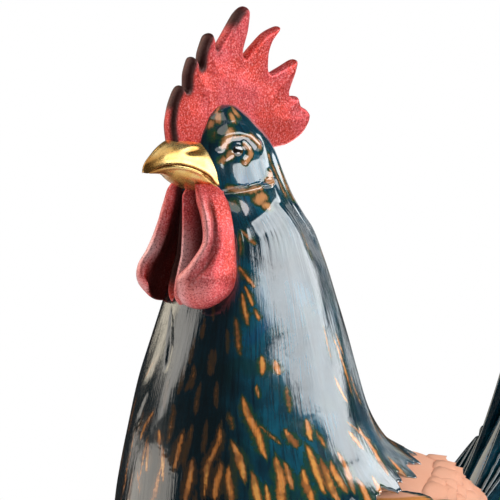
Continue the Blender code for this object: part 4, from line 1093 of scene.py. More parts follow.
def neck_amber(turn, fall):
    """The strokes as one field. Each keeps its width in millimetres while the neck widens below it."""
    total = np.zeros_like(fall)
    for line, half, power in NECK_STROKES:
        total = np.maximum(total, power * along_line(turn, fall, line, half * 0.9, glow=0.27))
    return total


def front_dents(turn, fall):
    """How deep the grooves at the front lie below the skin (mm)."""
    total = np.zeros_like(fall)
    for line, half, depth in FRONT_GROOVES:
        total = np.maximum(total, depth * along_line(turn, fall, line, half, wobble=0.0))
    return total


def strewn_share(turn, fall):
    """Where strewn strokes take over from the placed ones: all but the shown side above the hem."""
    degrees = np.degrees(turn)
    shown = smoothstep(-14, -6, degrees) * smoothstep(142, 132, degrees)
    depth = 163 + 20 * smoothstep(60, 95, degrees)
    return 1 - shown * smoothstep(depth + 6, depth - 2, fall)


print("strokes on the neck:", len(NECK_STROKES))

# %% Head and hackle skin
COLUMNS = 400
HEAD_ROWS, NECK_ROWS = 88, 150
CROWN_RISE = HEAD_SECTIONS[0][0] * MM  # the crown's dome stands a little above the casting's own
turns = once_round(COLUMNS) - math.pi
head_share = np.linspace(0.012, 1.0, HEAD_ROWS) ** 0.92
neck_share = np.linspace(0.0, 1.0, NECK_ROWS + 1)[1:]
turn_grid, head_grid = np.meshgrid(turns, head_share)
head_fall = CROWN_RISE + (jaw_edge(turn_grid) - CROWN_RISE) * head_grid
turn_low, neck_grid = np.meshgrid(turns, neck_share)
neck_fall = jaw_edge(turn_low) + (cape_hem(turn_low) - jaw_edge(turn_low)) * neck_grid
turn_all = np.vstack([turn_grid, turn_low])
fall_all = np.vstack([head_fall, neck_fall])
down = fall_all / MM
feather = drops(turn_all, down, feather_rows(), seed=7)
fade_in = smoothstep(50, 84, down)
swell = 0.35 * np.sin(turn_all * 11 + down * 0.05) * np.sin(down * 0.06 + turn_all * 3) * fade_in
cape_lift = 1.0 * smoothstep(120, 186, down)
past_face = down - face_edge(turn_all)
collar = 0.14 * np.abs(np.sin(turn_all * 31 + 1.7 * np.sin(turn_all * 9))) ** 3
collar = collar * smoothstep(0.5, 4, past_face) * smoothstep(24, 10, past_face)
feathering = 0.14 * feather * (0.5 + smoothstep(140, 170, down)) + swell
relief = face_relief(turn_all, down) * smoothstep(74, 58, down) + fade_in * feathering + collar + cape_lift
relief = relief - front_dents(turn_all, down)
relief = relief - 0.8 * smoothstep(0.985, 1.0, np.vstack([head_grid * 0, neck_grid]))
outer = neck_point(turn_all, fall_all, relief * MM)
under = []
for depth, back_off in ((1.6, 0.4), (3.6, 1.2), (4.4, 9.0), (4.4, 30.0)):
    under.append(neck_point(turns, fall_all[-1] - back_off * MM, np.full(COLUMNS, -depth * MM))[None])
grid = np.vstack([outer] + under)
amber = drops(turn_all, down, amber_rows(), seed=23, soft=True)
amber = amber * strewn_share(turn_all, down) * smoothstep(58, 66, down)
amber = np.maximum(np.maximum(amber, neck_amber(turn_all, down)), face_amber(turn_all, down) * (down < 56))
# the front of the neck is darkened: partly the glaze's own darker colour and partly painted shade on the side
# turned from the light
deep = smoothstep(math.radians(56), math.radians(34), np.abs(turn_all)) * smoothstep(62, 80, down) * 0.92
pad = np.zeros((len(under), COLUMNS))
plume = 0.05 + 0.95 * smoothstep(0, 14, past_face)
head_paint = {label: np.vstack([v, pad]) for label, v in (("amber", amber), ("deep", deep), ("plume", plume))}
head = skin("head_and_hackles", grid, paint=head_paint)
dress(head, hackle_glaze, "neck_and_head")
print("head and hackles:", triangles(head), "triangles")

# %% [markdown]
# Eyes are small balls let into their sockets. A sphere primitive is enough for the ball, but the gaze must
# be painted on: each point knows its angle from the eye's own outward direction.


# %% Eyes
EYE_RADIUS, EYE_SUNK = 4.2, 0.45  # in millimetres


def place_on_neck(turn_deg, fall_mm, lift_mm):
    """One place of the neck as a vector."""
    point = neck_point(np.array([math.radians(turn_deg)]), np.array([fall_mm * MM]), np.array([lift_mm * MM]))
    return Vector(point[0])


def eyeball(label, side):
    """A ball in its socket. Each point is painted with its angle from the gaze."""
    seat = place_on_neck(EYE_TURN, EYE_FALL, -EYE_SUNK - EYE_RADIUS)
    seat.x *= side
    gaze = Vector((side * 0.90, -0.42, 0.10)).normalized()
    work = bmesh.new()
    bmesh.ops.create_uvsphere(work, u_segments=48, v_segments=32, radius=EYE_RADIUS * MM)
    bmesh.ops.translate(work, verts=work.verts, vec=seat)
    mesh = bpy.data.meshes.new(f"{label}_eyeball")
    work.to_mesh(mesh)
    work.free()
    layer = mesh.attributes.new("gaze", "FLOAT", "POINT")
    for index, vertex in enumerate(mesh.vertices):
        layer.data[index].value = math.acos(max(-1, min(1, (vertex.co - seat).normalized().dot(gaze)))) / 1.2
    mesh.shade_smooth()
    return stand(f"{label}_eyeball", mesh)


for label, side in (("left", 1), ("right", -1)):
    dress(eyeball(label, side), eye_finish, f"{label}_eye")
print("eyes set at", EYE_TURN, "degrees round from the beak")

# %% [markdown]
# The comb is a fleshy plate with six points. Its outline is a smooth line through a few places, and its
# thickness comes from how far each point lies from that outline: round at the edge, full in the middle.
# Carving a block with a sculpting brush would work too, but a thickness rule keeps both faces alike and the
# edge evenly round. Ridges run up into each point, as if the flesh were pulled upwards.

# %% Comb outline and thickness
# each place: reach back from the neck's axis and height above the crown (mm)
COMB_EDGE = [
    (-45.0, -21.0), (-47.0, -13.5), (-47.8, -7.0), (-46.4, 1.0), (-43.8, 7.0), (-41.3, 9.6), (-39.3, 7.4),
    (-38.3, 8.6), (-38.0, 15.0), (-35.0, 21.8), (-32.2, 20.6), (-30.4, 17.6), (-29.4, 24.0), (-26.0, 31.0),
    (-23.2, 32.2), (-21.4, 29.0), (-20.4, 25.4), (-15.6, 31.2), (-8.6, 40.8), (-4.2, 44.0), (-1.6, 41.4),
    (-2.6, 33.0), (-5.3, 24.4), (-4.4, 21.6), (0.2, 26.0), (7.4, 32.2), (14.6, 35.0), (15.2, 32.8),
    (11.0, 28.0), (8.8, 22.4), (8.6, 15.6), (10.4, 14.2), (16.0, 16.4), (24.6, 20.0), (26.2, 18.2),
    (24.8, 13.4), (21.4, 6.0), (21.8, 3.6), (26.2, 3.2), (28.2, -0.8), (31.6, -2.6), (33.8, -5.4),
    (32.6, -9.4), (28.0, -14.6), (20.0, -18.6), (10.0, -20.4),
]
COMB_ROOT = [
    (4.0, -26.0), (0.0, -16.0), (-8.0, -7.0), (-20.0, -5.0), (-28.0, -10.0), (-33.0, -18.0), (-38.0, -25.0),
]
COMB_POINTS = [
    ((-41.2, 8.0), (-37.5, -3.0)), ((-34.2, 20.0), (-31.5, 3.0)), ((-24.2, 30.4), (-22.0, 6.0)),
    ((-4.0, 42.0), (-11.5, 8.0)), ((13.6, 33.4), (3.6, 12.0)), ((24.4, 18.4), (13.0, 2.0)),
    ((26.8, 1.6), (17.0, -4.0)), ((-30.5, 12.0), (-29.5, 0.0)),
]


def smooth_loop(places, parts):
    """A closed line through the places, rounded between them."""
    p = np.array(places)
    share = np.linspace(0, 1, parts, endpoint=False)[:, None]
    before, here, after, later = np.roll(p, 1, 0), p, np.roll(p, -1, 0), np.roll(p, -2, 0)
    pull = 0.40
    leave, arrive = (after - before) * pull, (later - here) * pull
    out = []
    for i in range(len(p)):
        out.append(
            here[i] * (1 + 2 * share) * (1 - share) ** 2
            + leave[i] * share * (1 - share) ** 2
            + after[i] * share**2 * (3 - 2 * share)
            - arrive[i] * share**2 * (1 - share)
        )
    return np.vstack(out)


def gap_to_line(points, line, closed=True):
    """The distance of each point from a line."""
    best = np.full(len(points), 1e9)
    for a, b in zip(line, np.roll(line, -1, 0) if closed else line[1:]):
        run = b - a
        share = np.clip(((points - a) @ run) / (run @ run), 0, 1)
        best = np.minimum(best, np.linalg.norm(points - a - share[:, None] * run, axis=1))
    return best


def inside_line(points, line):
    """Which points lie inside a closed line."""
    inside = np.zeros(len(points), dtype=bool)
    for (ax, ay), (bx, by) in zip(line, np.roll(line, -1, 0)):
        crosses = (ay > points[:, 1]) != (by > points[:, 1])
        inside ^= crosses & (points[:, 0] < (bx - ax) * (points[:, 1] - ay) / (by - ay + 1e-12) + ax)
    return inside


comb_line = smooth_loop(COMB_EDGE + COMB_ROOT, 9)
comb_line = comb_line[np.linalg.norm(comb_line - np.roll(comb_line, 1, 0), axis=1) > 0.12]
print("comb outline:", len(comb_line), "places, height", round(float(np.ptp(comb_line[:, 1]))), "mm")

# %% Comb skin
def ways_out(line):
    """The direction straight out of a closed line, at each of its places."""
    run = np.roll(line, -1, 0) - np.roll(line, 1, 0)
    out = np.stack([run[:, 1], -run[:, 0]], axis=1) / np.linalg.norm(run, axis=1)[:, None]
    return -out if inside_line(line[:1] + out[:1] * 0.05, line)[0] else out


def front_shade(flat, line):
    """How much a place lies on the part of the outline that faces forwards, from 0 to 1."""
    shade = np.zeros(len(flat))
    for place, way in zip(line, ways_out(line)):
        off = np.linalg.norm(flat - place, axis=1)
        facing = smoothstep(0.35, 0.75, -way[0])
        shade = np.maximum(shade, smoothstep(3.6, 1.9, off) * facing)
    return shade


def fleshy_plate(name, line, shown, half_thickness, sway, spacing=0.8):
    """Two sheets inside a line, meeting at it. Thickness counts from the shown part of the line only."""
    low, high = line.min(0), line.max(0)
    steps_y = np.arange(low[0], high[0], spacing)
    steps_z = np.arange(low[1], high[1], spacing * 0.866)
    lattice = np.array([(y + spacing / 2 * (j % 2), z) for j, z in enumerate(steps_z) for y in steps_y])
    lattice = lattice[inside_line(lattice, line)]
    lattice = lattice[gap_to_line(lattice, line) > 1.35]
    out = ways_out(line)
    rims = []
    for depth in (0.10, 0.32, 0.65, 1.05):
        ring = line - out * depth
        rims.append(ring[(gap_to_line(ring, line) > depth * 0.97) & inside_line(ring, line)])
    points = np.vstack([line] + rims + [lattice])
    count = len(line)
    edges = [(i, (i + 1) % count) for i in range(count)]
    flat, _, faces, *_ = geometry.delaunay_2d_cdt([Vector(p) for p in points], edges, [], 1, 1e-5)
    flat = np.array([tuple(p) for p in flat])
    on_line = gap_to_line(flat, line) < 1e-4
    half = half_thickness(flat, gap_to_line(flat, shown, closed=False))
    half[on_line] = 0.0
    middle = sway(flat)
    stack = []
    for side in (1, -1):
        x = middle + side * half
        stack.append(below_crown(np.stack([x, flat[:, 0], flat[:, 1]], axis=1)))
    shift = len(flat)
    quads = [tuple(face) for face in faces] + [tuple(i + shift for i in reversed(face)) for face in faces]
    mesh = bpy.data.meshes.new(name)
    mesh.from_pydata(np.vstack(stack).tolist(), [], quads)
    # painted shade on the comb's forward-facing edges, kept off the lower part of the tallest point; low down
    # it is kept off the outline itself and the far sheet gets less of it
    shade = front_shade(flat, line) * smoothstep(-2, -14, flat[:, 0] - 0.45 * np.clip(flat[:, 1] - 22, 0, 30))
    upper = smoothstep(-4, 1, flat[:, 1])
    shade = shade * np.maximum(smoothstep(0.0, 0.5, gap_to_line(flat, line)), upper)
    shade = shade * (1 - mound(flat[:, 0], -15.5, 5.0) * smoothstep(38, 33, flat[:, 1]))
    fold = mesh.attributes.new("fold", "FLOAT", "POINT")
    fold.data.foreach_set("value", np.concatenate([shade, (0.25 + 0.70 * upper) * shade]))
    face_out(mesh)
    mesh.shade_smooth()
    return stand(name, mesh)


def comb_half(flat, gap):
    """Half the comb's thickness: an even round edge, a full middle and a ridge up into each point."""
    full = 3.5 + 0.9 * smoothstep(3, 15, gap) + 0.5 * smoothstep(4, -14, flat[:, 1])
    ridge = np.zeros(len(flat))
    for tip, foot in COMB_POINTS:
        a, b = np.array(foot), np.array(tip)
        run = b - a
        share = np.clip(((flat - a) @ run) / (run @ run), -0.4, 1)
        off = np.linalg.norm(flat - a - share[:, None] * run, axis=1)
        ridge = np.maximum(ridge, np.clip(1 - off / 4.2, 0, 1) ** 1.5 * smoothstep(-0.1, 0.8, share))
    pull = 0.05 * np.sin(flat[:, 0] * 0.9 + 1.4 * np.sin(flat[:, 1] * 0.23)) * smoothstep(2, 6, gap)
    edge = np.clip(gap / 2.0, 0, 1)
    return full * (1 - (1 - edge) ** 2.2) ** 0.55 + (0.55 * ridge + pull) * edge


def comb_sway(flat):
    """How far the comb's middle leans out to one side (mm)."""
    return 0.7 * np.sin(flat[:, 0] / 9.0) * np.clip((flat[:, 1] + 16) / 30, 0, 1)


ROOT_STEPS = 62  # the outline's last steps run inside the head
comb_shown = comb_line[: len(comb_line) - ROOT_STEPS]
comb = fleshy_plate("comb_flesh", comb_line, comb_shown, comb_half, comb_sway)
dress(comb, red_lustre, "comb")
print("comb:", triangles(comb), "triangles")

# %% [markdown]
# The beak is two horny sheaths over the jaws. Each is a loft of half-round sections, stretched along a
# table of heights and widths. The modelling that makes it read as a beak is small: a rolled lip along the
# mouth, a sunken nostril and a soft shoulder where the sheath leaves the feathers.

# %% Beak tables
# each row: reach before the neck's axis, heights of ridge and mouth line from the crown, half width (mm)
UPPER_BEAK = [
    (20.0, -15.0, -36.0, 13.6), (29.5, -14.5, -34.2, 13.0), (33.0, -14.1, -30.4, 12.6),
    (37.0, -13.7, -27.9, 11.6), (43.0, -13.3, -25.5, 9.9), (48.0, -14.7, -24.5, 8.1),
    (52.0, -17.0, -24.7, 6.3), (55.4, -19.8, -25.6, 4.6), (58.2, -22.2, -27.3, 3.2),
    (60.0, -24.2, -28.4, 1.9), (60.9, -26.2, -28.2, 0.5),
]
LOWER_BEAK = [
    (20.0, -36.4, -39.8, 13.2), (29.5, -34.5, -38.6, 12.6), (33.0, -30.7, -37.6, 12.2),
    (37.0, -28.2, -36.2, 11.1), (42.0, -26.1, -34.4, 9.7), (45.5, -25.2, -32.4, 8.3),
    (48.0, -24.9, -30.4, 7.1), (51.5, -25.2, -29.1, 5.3), (54.8, -26.2, -28.8, 3.3),
    (57.2, -27.7, -28.7, 1.0),
]


def sheath(name, table, downward, rows=110, columns=128):
    """One half of the beak. Its ring starts at the left mouth edge, goes over the ridge and back inside."""
    first, last = table[0][0], table[-1][0]
    reach = first + (last - first) * (np.linspace(0, 1, rows) ** 0.8)
    top, bottom, width = np.moveaxis(along_table(table, reach), -1, 0)
    base, rise = (top, bottom - top) if downward else (bottom, top - bottom)
    turn = np.linspace(0, math.pi, columns // 2)
    r, t = np.meshgrid(np.arange(rows), np.arange(len(turn)), indexing="ij")
    cosine, sine = np.cos(turn)[t], np.sin(turn)[t]
    high = sine ** (1.1 if downward else 1.12)
    across = np.sign(cosine) * np.abs(cosine) ** (0.9 if downward else 1.12)
    near_edge = np.abs(rise[r]) * high
    to_tip = smoothstep(last, last - 12, reach)[r]
    if downward:
        swell = 0.75 * mound(near_edge, 0.9, 0.9) * to_tip
        gape = mound(reach[r], 33.6, 2.8) * mound(near_edge, 0.7, 0.9)
        swell = swell - 1.3 * gape
        fold = 0.75 * smoothstep(2.6, 5.5, near_edge) * smoothstep(38, 50, reach)[r]
        fold = fold + 0.5 * smoothstep(4.5, 8, near_edge)
        fold = np.maximum(fold, 1.1 * gape)
    else:
        swell = 0.35 * smoothstep(2.2, 0.4, near_edge) * to_tip
        fold = smoothstep(0.75, 0.25, near_edge)
    nose = np.zeros_like(swell)
    if not downward:
        along_nose = (reach[r] - 38.6) / 4.0
        up_nose = (base[r] + rise[r] * high - (-18.9 - 0.10 * (reach[r] - 38.6))) / 1.3
        pit = mound(along_nose, 0, 1) * mound(up_nose, 0, 1)
        brow = mound(along_nose, 0, 1) * mound(up_nose, 1.6, 1)
        nose = 0.25 * brow - 0.95 * pit
        fold = np.maximum(fold, 0.9 * pit)
        culmen = mound(across, 0, 0.22)
        swell = swell + 0.30 * culmen * smoothstep(last, last - 20, reach)[r]
    x = (np.abs(across) * width[r] + (swell + nose) * np.abs(cosine) ** 0.6) * np.sign(across + 1e-12)
    z = base[r] + rise[r] * high + np.sign(rise[r]) * (swell * 0.6 + nose * 0.4) * sine
    outer = np.stack([x, -reach[r], z], axis=-1)
    inner = outer[:, ::-1].copy()
    inner[..., 0] *= 0.86
    inner[..., 2] = base[r] + (0.30 if downward else 0.22) * np.sign(rise[r]) * sine
    grid = below_crown(np.concatenate([outer, inner[:, 1:-1]], axis=1))
    # painted shade along the mouth line, in the nostril and the gape, under the lower sheath and on the inner
    # side, and darker towards the tip
    tone_mark = np.concatenate([fold, np.full((rows, len(turn) - 2), 0.9)], axis=1)
    tone_mark = tone_mark + 0.8 * smoothstep(last - 8, last - 1, reach)[:, None] * (1 - np.abs(tone_mark))
    return skin(name, grid, paint={"fold": np.clip(tone_mark, 0, 1)})


upper = dress(sheath("upper_sheath", UPPER_BEAK, False), gilding, "upper_beak")
lower = dress(sheath("lower_sheath", LOWER_BEAK, True), gilding, "lower_beak")
print("beak:", triangles(upper) + triangles(lower), "triangles")

# %% [markdown]
# Each wattle is a thick leaf of skin. Seen from above, a slice through it bends from the throat outwards and
# then round to the front, more and more towards the bottom, where the front edge curls in before the
# throat. So a wattle is made of slices, each an ellipse bent along its own curve, closing in a rounded
# seam at the bottom.

# %% Wattle slices
# each row: share of the fall, height, out and reach of the slice's back, bend and front, half thickness (mm)
LEFT_WATTLE = [
    (0.00, -33.6, 10.6, 25.0, 10.6, 33.0, 7.5, 38.0, 1.8),
    (0.08, -37.6, 12.8, 25.5, 12.8, 33.5, 10.0, 39.4, 2.6),
    (0.16, -41.8, 15.0, 25.6, 14.6, 34.0, 12.2, 40.4, 3.3),
    (0.28, -48.5, 18.2, 26.5, 18.2, 34.5, 15.0, 40.4, 3.7),
    (0.44, -58.0, 21.0, 27.4, 21.4, 36.0, 16.6, 41.0, 3.8),
    (0.60, -68.0, 22.8, 28.0, 24.6, 41.0, 14.0, 45.4, 3.9),
    (0.76, -76.0, 23.8, 28.6, 27.0, 46.6, 9.6, 49.0, 4.0),
    (0.90, -83.2, 23.6, 29.6, 26.6, 46.6, 9.0, 48.4, 3.9),
    (1.00, -89.0, 22.4, 31.0, 25.0, 45.0, 10.0, 46.6, 3.7),
]
RIGHT_WATTLE = [
    (0.00, -33.6, 10.0, 25.0, 10.0, 32.5, 7.2, 37.4, 1.8),
    (0.08, -37.2, 11.4, 25.5, 11.4, 33.0, 9.0, 38.2, 2.6),
    (0.16, -40.8, 12.8, 25.8, 12.8, 33.0, 10.4, 38.0, 3.0),
    (0.28, -47.0, 15.0, 26.0, 15.2, 33.4, 12.4, 38.4, 3.2),
    (0.44, -56.0, 18.0, 26.0, 18.4, 34.4, 14.6, 39.8, 3.3),
    (0.60, -65.0, 20.4, 26.0, 21.6, 37.0, 16.4, 42.6, 3.4),
    (0.76, -73.5, 22.0, 26.0, 24.4, 41.6, 17.6, 46.2, 3.4),
    (0.90, -81.0, 21.6, 26.0, 24.6, 43.4, 17.4, 47.4, 3.3),
    (1.00, -87.6, 19.0, 27.0, 22.6, 41.0, 16.0, 45.6, 3.0),
]


def bent_leaf(side, table, back_rise, front_rise, rows=120, columns=84):
    """Points of a wattle, with its painted shade and painted highlights at each."""
    t = np.linspace(0, 1, rows) ** 0.92
    down = t[:, None]
    turn = once_round(columns)
    values = along_table(table, t)
    height, ax, ar, bx, br, cx, cr, thick = [values[:, i : i + 1] for i in range(8)]
    s = 0.5 - 0.5 * np.cos(turn)[None, :]
    ease = s**0.92
    x = ax * (1 - ease) ** 2 + 2 * bx * ease * (1 - ease) + cx * ease**2
    reach = ar * (1 - ease) ** 2 + 2 * br * ease * (1 - ease) + cr * ease**2
    run_x = 2 * (bx - ax) * (1 - ease) + 2 * (cx - bx) * ease
    run_r = 2 * (br - ar) * (1 - ease) + 2 * (cr - br) * ease
    size = np.hypot(run_x, run_r)
    out_x, out_r = run_r / size, -run_x / size
    sine = np.sin(turn)[None, :]
    body = np.sign(sine) * np.abs(sine) ** 0.62
    taper = np.sqrt(np.clip(1 - down**7, 0, 1))
    rim = mound(s, 0.88, 0.10)
    valley = mound(s, 0.66, 0.09) * smoothstep(0.02, 0.2, down) * smoothstep(0.75, 0.5, down)
    crease = mound(s - 0.60 - 0.5 * (down - 0.60), 0, 0.05) * mound(down, 0.64, 0.13)
    belly = np.sin(math.pi * s) * smoothstep(0.5, 0.85, down)
    wrinkle = 0.10 * np.sin(s * 34 + 2.5 * np.sin(down * 9)) + 0.08 * np.sin(s * 61 + down * 14)
    relief = rim - valley - 0.9 * crease + 1.1 * belly + wrinkle
    raised = np.where(body > 0, relief, 0.25 * relief) * np.sign(body)
    off = body * thick * taper + raised * np.abs(sine) ** 0.5 * taper
    z = height + (back_rise * (1 - s) ** 2.5 + front_rise * s**3) * down**3
    grid = below_crown(np.stack([(x + out_x * off) * side, -(reach + out_r * off), z + 0 * off], axis=-1))
    outside = body > 0
    everywhere = np.ones_like(down)
    # painted shade: the inner face, the valley and the crease are painted dark
    inside = np.where(body < 0, 0.9, 0.0) * everywhere * np.abs(sine)
    fold = np.clip(0.7 * valley * outside + 0.5 * crease * outside + inside, 0, 1)
    # painted highlights on the front rim's crest and on the lower lobe
    crest = 0.9 * rim * smoothstep(0.05, 0.3, down)
    lobe = mound(s, 0.62, 0.22) * mound(down, 0.84, 0.12)
    bloom = np.clip(np.where(outside, crest + 0.8 * lobe, 0.0), 0, 1) * everywhere
    sheen = np.where(outside, 0.50 * crest + 0.12 * lobe, 0.0)
    # the far wattle's front edge gets a painted sheen in place of its painted shade
    if side < 0:
        front = smoothstep(0.72, 0.90, s) * mound(down, 0.62, 0.15)
        sheen = sheen + 0.9 * front
        fold = fold * (1 - 0.9 * front)
    return grid, {"fold": fold, "bloom": bloom, "sheen": np.clip(sheen, 0, 1)}


for label, side, table, rises in (
    ("left", 1, LEFT_WATTLE, (7.0, 3.0)),
    ("right", -1, RIGHT_WATTLE, (0.0, 8.5)),
):
    grid, paint = bent_leaf(side, table, *rises)
    wattle = skin(f"{label}_wattle_leaf", grid, ends=(True, False), paint=paint)
    dress(wattle, red_lustre, f"{label}_wattle")
print("wattles:", 2 * triangles(wattle), "triangles")

# %% [markdown]
# Between the wattles hangs the throat's own skin, with one pleat down the middle and a deep fold on each
# side of it. The folds are painted with shade, the darkest red of the figure, and the pleat's ridge with
# pale painted highlights.

# %% Throat skin
# each row: share, height, half width, reach of its front (mm)
THROAT = [
    (0.00, -31.0, 8.0, 32.5),
    (0.14, -39.0, 9.5, 33.0),
    (0.40, -52.0, 11.0, 33.0),
    (0.60, -64.0, 12.0, 33.6),
    (0.76, -73.0, 12.6, 36.2),
    (0.88, -80.0, 12.2, 38.8),
    (0.95, -85.0, 11.0, 39.8),
    (1.00, -88.5, 9.0, 39.5),
]


def throat_skin(rows=110, columns=72):
    """Points of the throat, with its painted shade and painted highlights at each."""
    t = np.linspace(0, 1, rows)
    down = t[:, None]
    height, half, reach = [along_table(THROAT, t)[:, i : i + 1] for i in range(3)]
    turn = once_round(columns)[None, :]
    across, front = np.sin(turn), np.cos(turn)
    bulge = np.where(front > 0, np.abs(front) ** 0.5, -np.abs(front) ** 0.8)
    pleat = mound(across, 0, 0.27) * 4.6
    side_fold = mound(np.abs(across), 0.62, 0.20)
    shape = np.where(front > 0, pleat - 2.6 * side_fold, 0) * smoothstep(0.0, 0.16, down)
    taper = np.sqrt(np.clip(1 - down**9, 0, 1))
    x = half * across * (0.75 + 0.25 * taper)
    depth = np.where(bulge > 0, 3.2 * bulge, 9.0 * bulge) * taper
    y = reach - 2.0 + depth + shape * taper
    grid = below_crown(np.stack([x, -y, height + 0 * x], axis=-1))
    # painted shade everywhere but on the pleat's ridge and at the very bottom; the ridge gets painted
    # highlights in its lower part
    ridge = mound(across, 0.05, 0.26) * (front > 0)
    fold = np.clip((1.0 - 1.5 * ridge) * smoothstep(1.0, 0.8, down) + 0 * x, 0, 1)
    bloom = np.clip(ridge * smoothstep(0.35, 0.6, down) + 0 * x, 0, 0.8)
    sheen = np.clip(ridge * mound(down, 0.62, 0.17) + 0 * x, 0, 0.8)
    return grid, {"fold": fold, "bloom": bloom, "sheen": sheen}


grid, paint = throat_skin()
throat = skin("throat_skin", grid, paint=paint)
dress(throat, red_lustre, "chin_fold")
print("throat skin:", triangles(throat), "triangles")

# %% [markdown]
# The trunk is one smooth egg of a body, squarer than an ellipse. It is made from sections as well, so that
# wings and feathers can be laid on it later by asking for the surface point at any place.

# %% Trunk form
# each row: share of the length, of the width, and of the depth taken by the back and by the belly
TRUNK_SECTIONS = [
    (0.000, 0.10, 0.30, 0.02), (0.030, 0.42, 0.50, 0.30), (0.100, 0.70, 0.68, 0.62),
    (0.220, 0.91, 0.86, 0.88), (0.380, 1.00, 0.97, 1.00), (0.560, 0.98, 1.00, 0.97),
    (0.720, 0.86, 0.99, 0.74), (0.800, 0.76, 0.96, 0.56), (0.880, 0.62, 0.83, 0.34),
    (0.960, 0.44, 0.66, 0.06), (1.000, 0.30, 0.56, -0.10),
]
SQUARENESS = 2.35
TRUNK_START = NECK_AXIS_Y - BREAST_REACH
TRUNK_LENGTH = BREAST_REACH + RUMP_REACH
TRUNK_MIDDLE = (BACK_HEIGHT + BELLY_HEIGHT) / 2
TRUNK_HALF_DEPTH = (BACK_HEIGHT - BELLY_HEIGHT) / 2


def trunk_section(share):
    """The trunk's width as a share of its greatest, and the heights of its back and belly."""
    width, up, down = np.moveaxis(along_table(TRUNK_SECTIONS, share), -1, 0)
    return width, TRUNK_MIDDLE + up * TRUNK_HALF_DEPTH, TRUNK_MIDDLE - down * TRUNK_HALF_DEPTH


def trunk_point(share, turn, lift=0.0):
    """Points of the trunk. The turn is 0 on the back and a quarter turn on the bird's left flank."""
    width, top, bottom = trunk_section(share)
    power = 2 / SQUARENESS
    sine, cosine = np.sin(turn), np.cos(turn)
    x = np.sign(sine) * np.abs(sine) ** power * (width * TRUNK_WIDTH / 2 + lift)
    z = (top + bottom) / 2 + np.sign(cosine) * np.abs(cosine) ** power * ((top - bottom) / 2 + lift)
    y = TRUNK_START + share * TRUNK_LENGTH + 0 * x
    return np.stack([x, y, z], axis=-1)


TRUNK_ROWS, TRUNK_COLUMNS = 220, 240
trunk_share = 0.5 - 0.5 * np.cos(math.pi * np.linspace(0, 1, TRUNK_ROWS))
share_grid, turn_grid = np.meshgrid(trunk_share, once_round(TRUNK_COLUMNS), indexing="ij")
muscle = 0.6 * MM * np.sin(turn_grid * 3 + share_grid * 5) * np.sin(math.pi * share_grid)
trunk_grid = trunk_point(share_grid, turn_grid, muscle)
# painted shade over the front end of the trunk, under the hackle cape
trunk_fold = smoothstep(0.20, 0.06, share_grid) * 0.3
trunk = skin("body_bisque", trunk_grid, paint={"fold": trunk_fold})
dress(trunk, peach, "trunk")
print("trunk:", triangles(trunk), "triangles")


# %% [markdown]
# Small feathers cover the breast, the flanks and the thighs in rows, like tiles. Modelling each would take
# days, so one feather is modelled and set many times by a node tree: points carry the way out of the
# surface and the way the feather lies, the tree turns a copy to each, varies its size and realizes all of
# them into one mesh. A texture could only fake them, and would leave the outline smooth.


# %% Feather tile
def small_feather(name, length, wide, proud, steps=(6, 5), point=0.75):
    """One body feather as a thin shell: its root is sunk and its tip stands proud. It lies along +Y."""
    rows, columns = steps
    work = bmesh.new()
    grid = []
    for i in range(rows):
        s = i / (rows - 1)
        narrow = max(0.0, 1 - ((s - 0.45) / 0.55) ** 3) if s > 0.45 else 1
        half = wide / 2 * (0.35 + 0.65 * min(1, s * 2.2)) * narrow**point
        line = []
        for j in range(columns):
            c = -1 + 2 * j / (columns - 1)
            arch = (1 - c * c) * wide * 0.13
            quill = 0.10 * proud * math.exp(-((c / 0.22) ** 2))
            height = proud * (s**0.8) * 0.75 + arch * (0.3 + 0.7 * s) + quill - 0.35 * proud
            line.append(work.verts.new((c * half, s * length, height)))
        grid.append(line)
    low = []
    for line in grid:
        low.append([work.verts.new((v.co.x * 0.96, v.co.y - 0.02 * length, -0.9 * proud)) for v in line])
    for i in range(rows - 1):
        for j in range(columns - 1):
            work.faces.new((grid[i][j], grid[i][j + 1], grid[i + 1][j + 1], grid[i + 1][j]))
    rim = [(grid[0], low[0]), (grid[-1], low[-1])]
    rim += [([line[end] for line in grid], [line[end] for line in low]) for end in (0, -1)]
    for upper_line, lower_line in rim:
        for k in range(len(upper_line) - 1):
            work.faces.new((upper_line[k], upper_line[k + 1], lower_line[k + 1], lower_line[k]))
    for line_a, line_b in zip(low, low[1:]):
        for j in range(columns - 1):
            work.faces.new((line_a[j], line_a[j + 1], line_b[j + 1], line_b[j]))
    bmesh.ops.remove_doubles(work, verts=work.verts, dist=1e-6)
    bmesh.ops.recalc_face_normals(work, faces=work.faces)
    mesh = bpy.data.meshes.new(name)
    work.to_mesh(mesh)
    work.free()
    mesh.shade_smooth()
    return bpy.data.objects.new(name, mesh)


print("a feather tile has", 6 * 5, "points on each side")


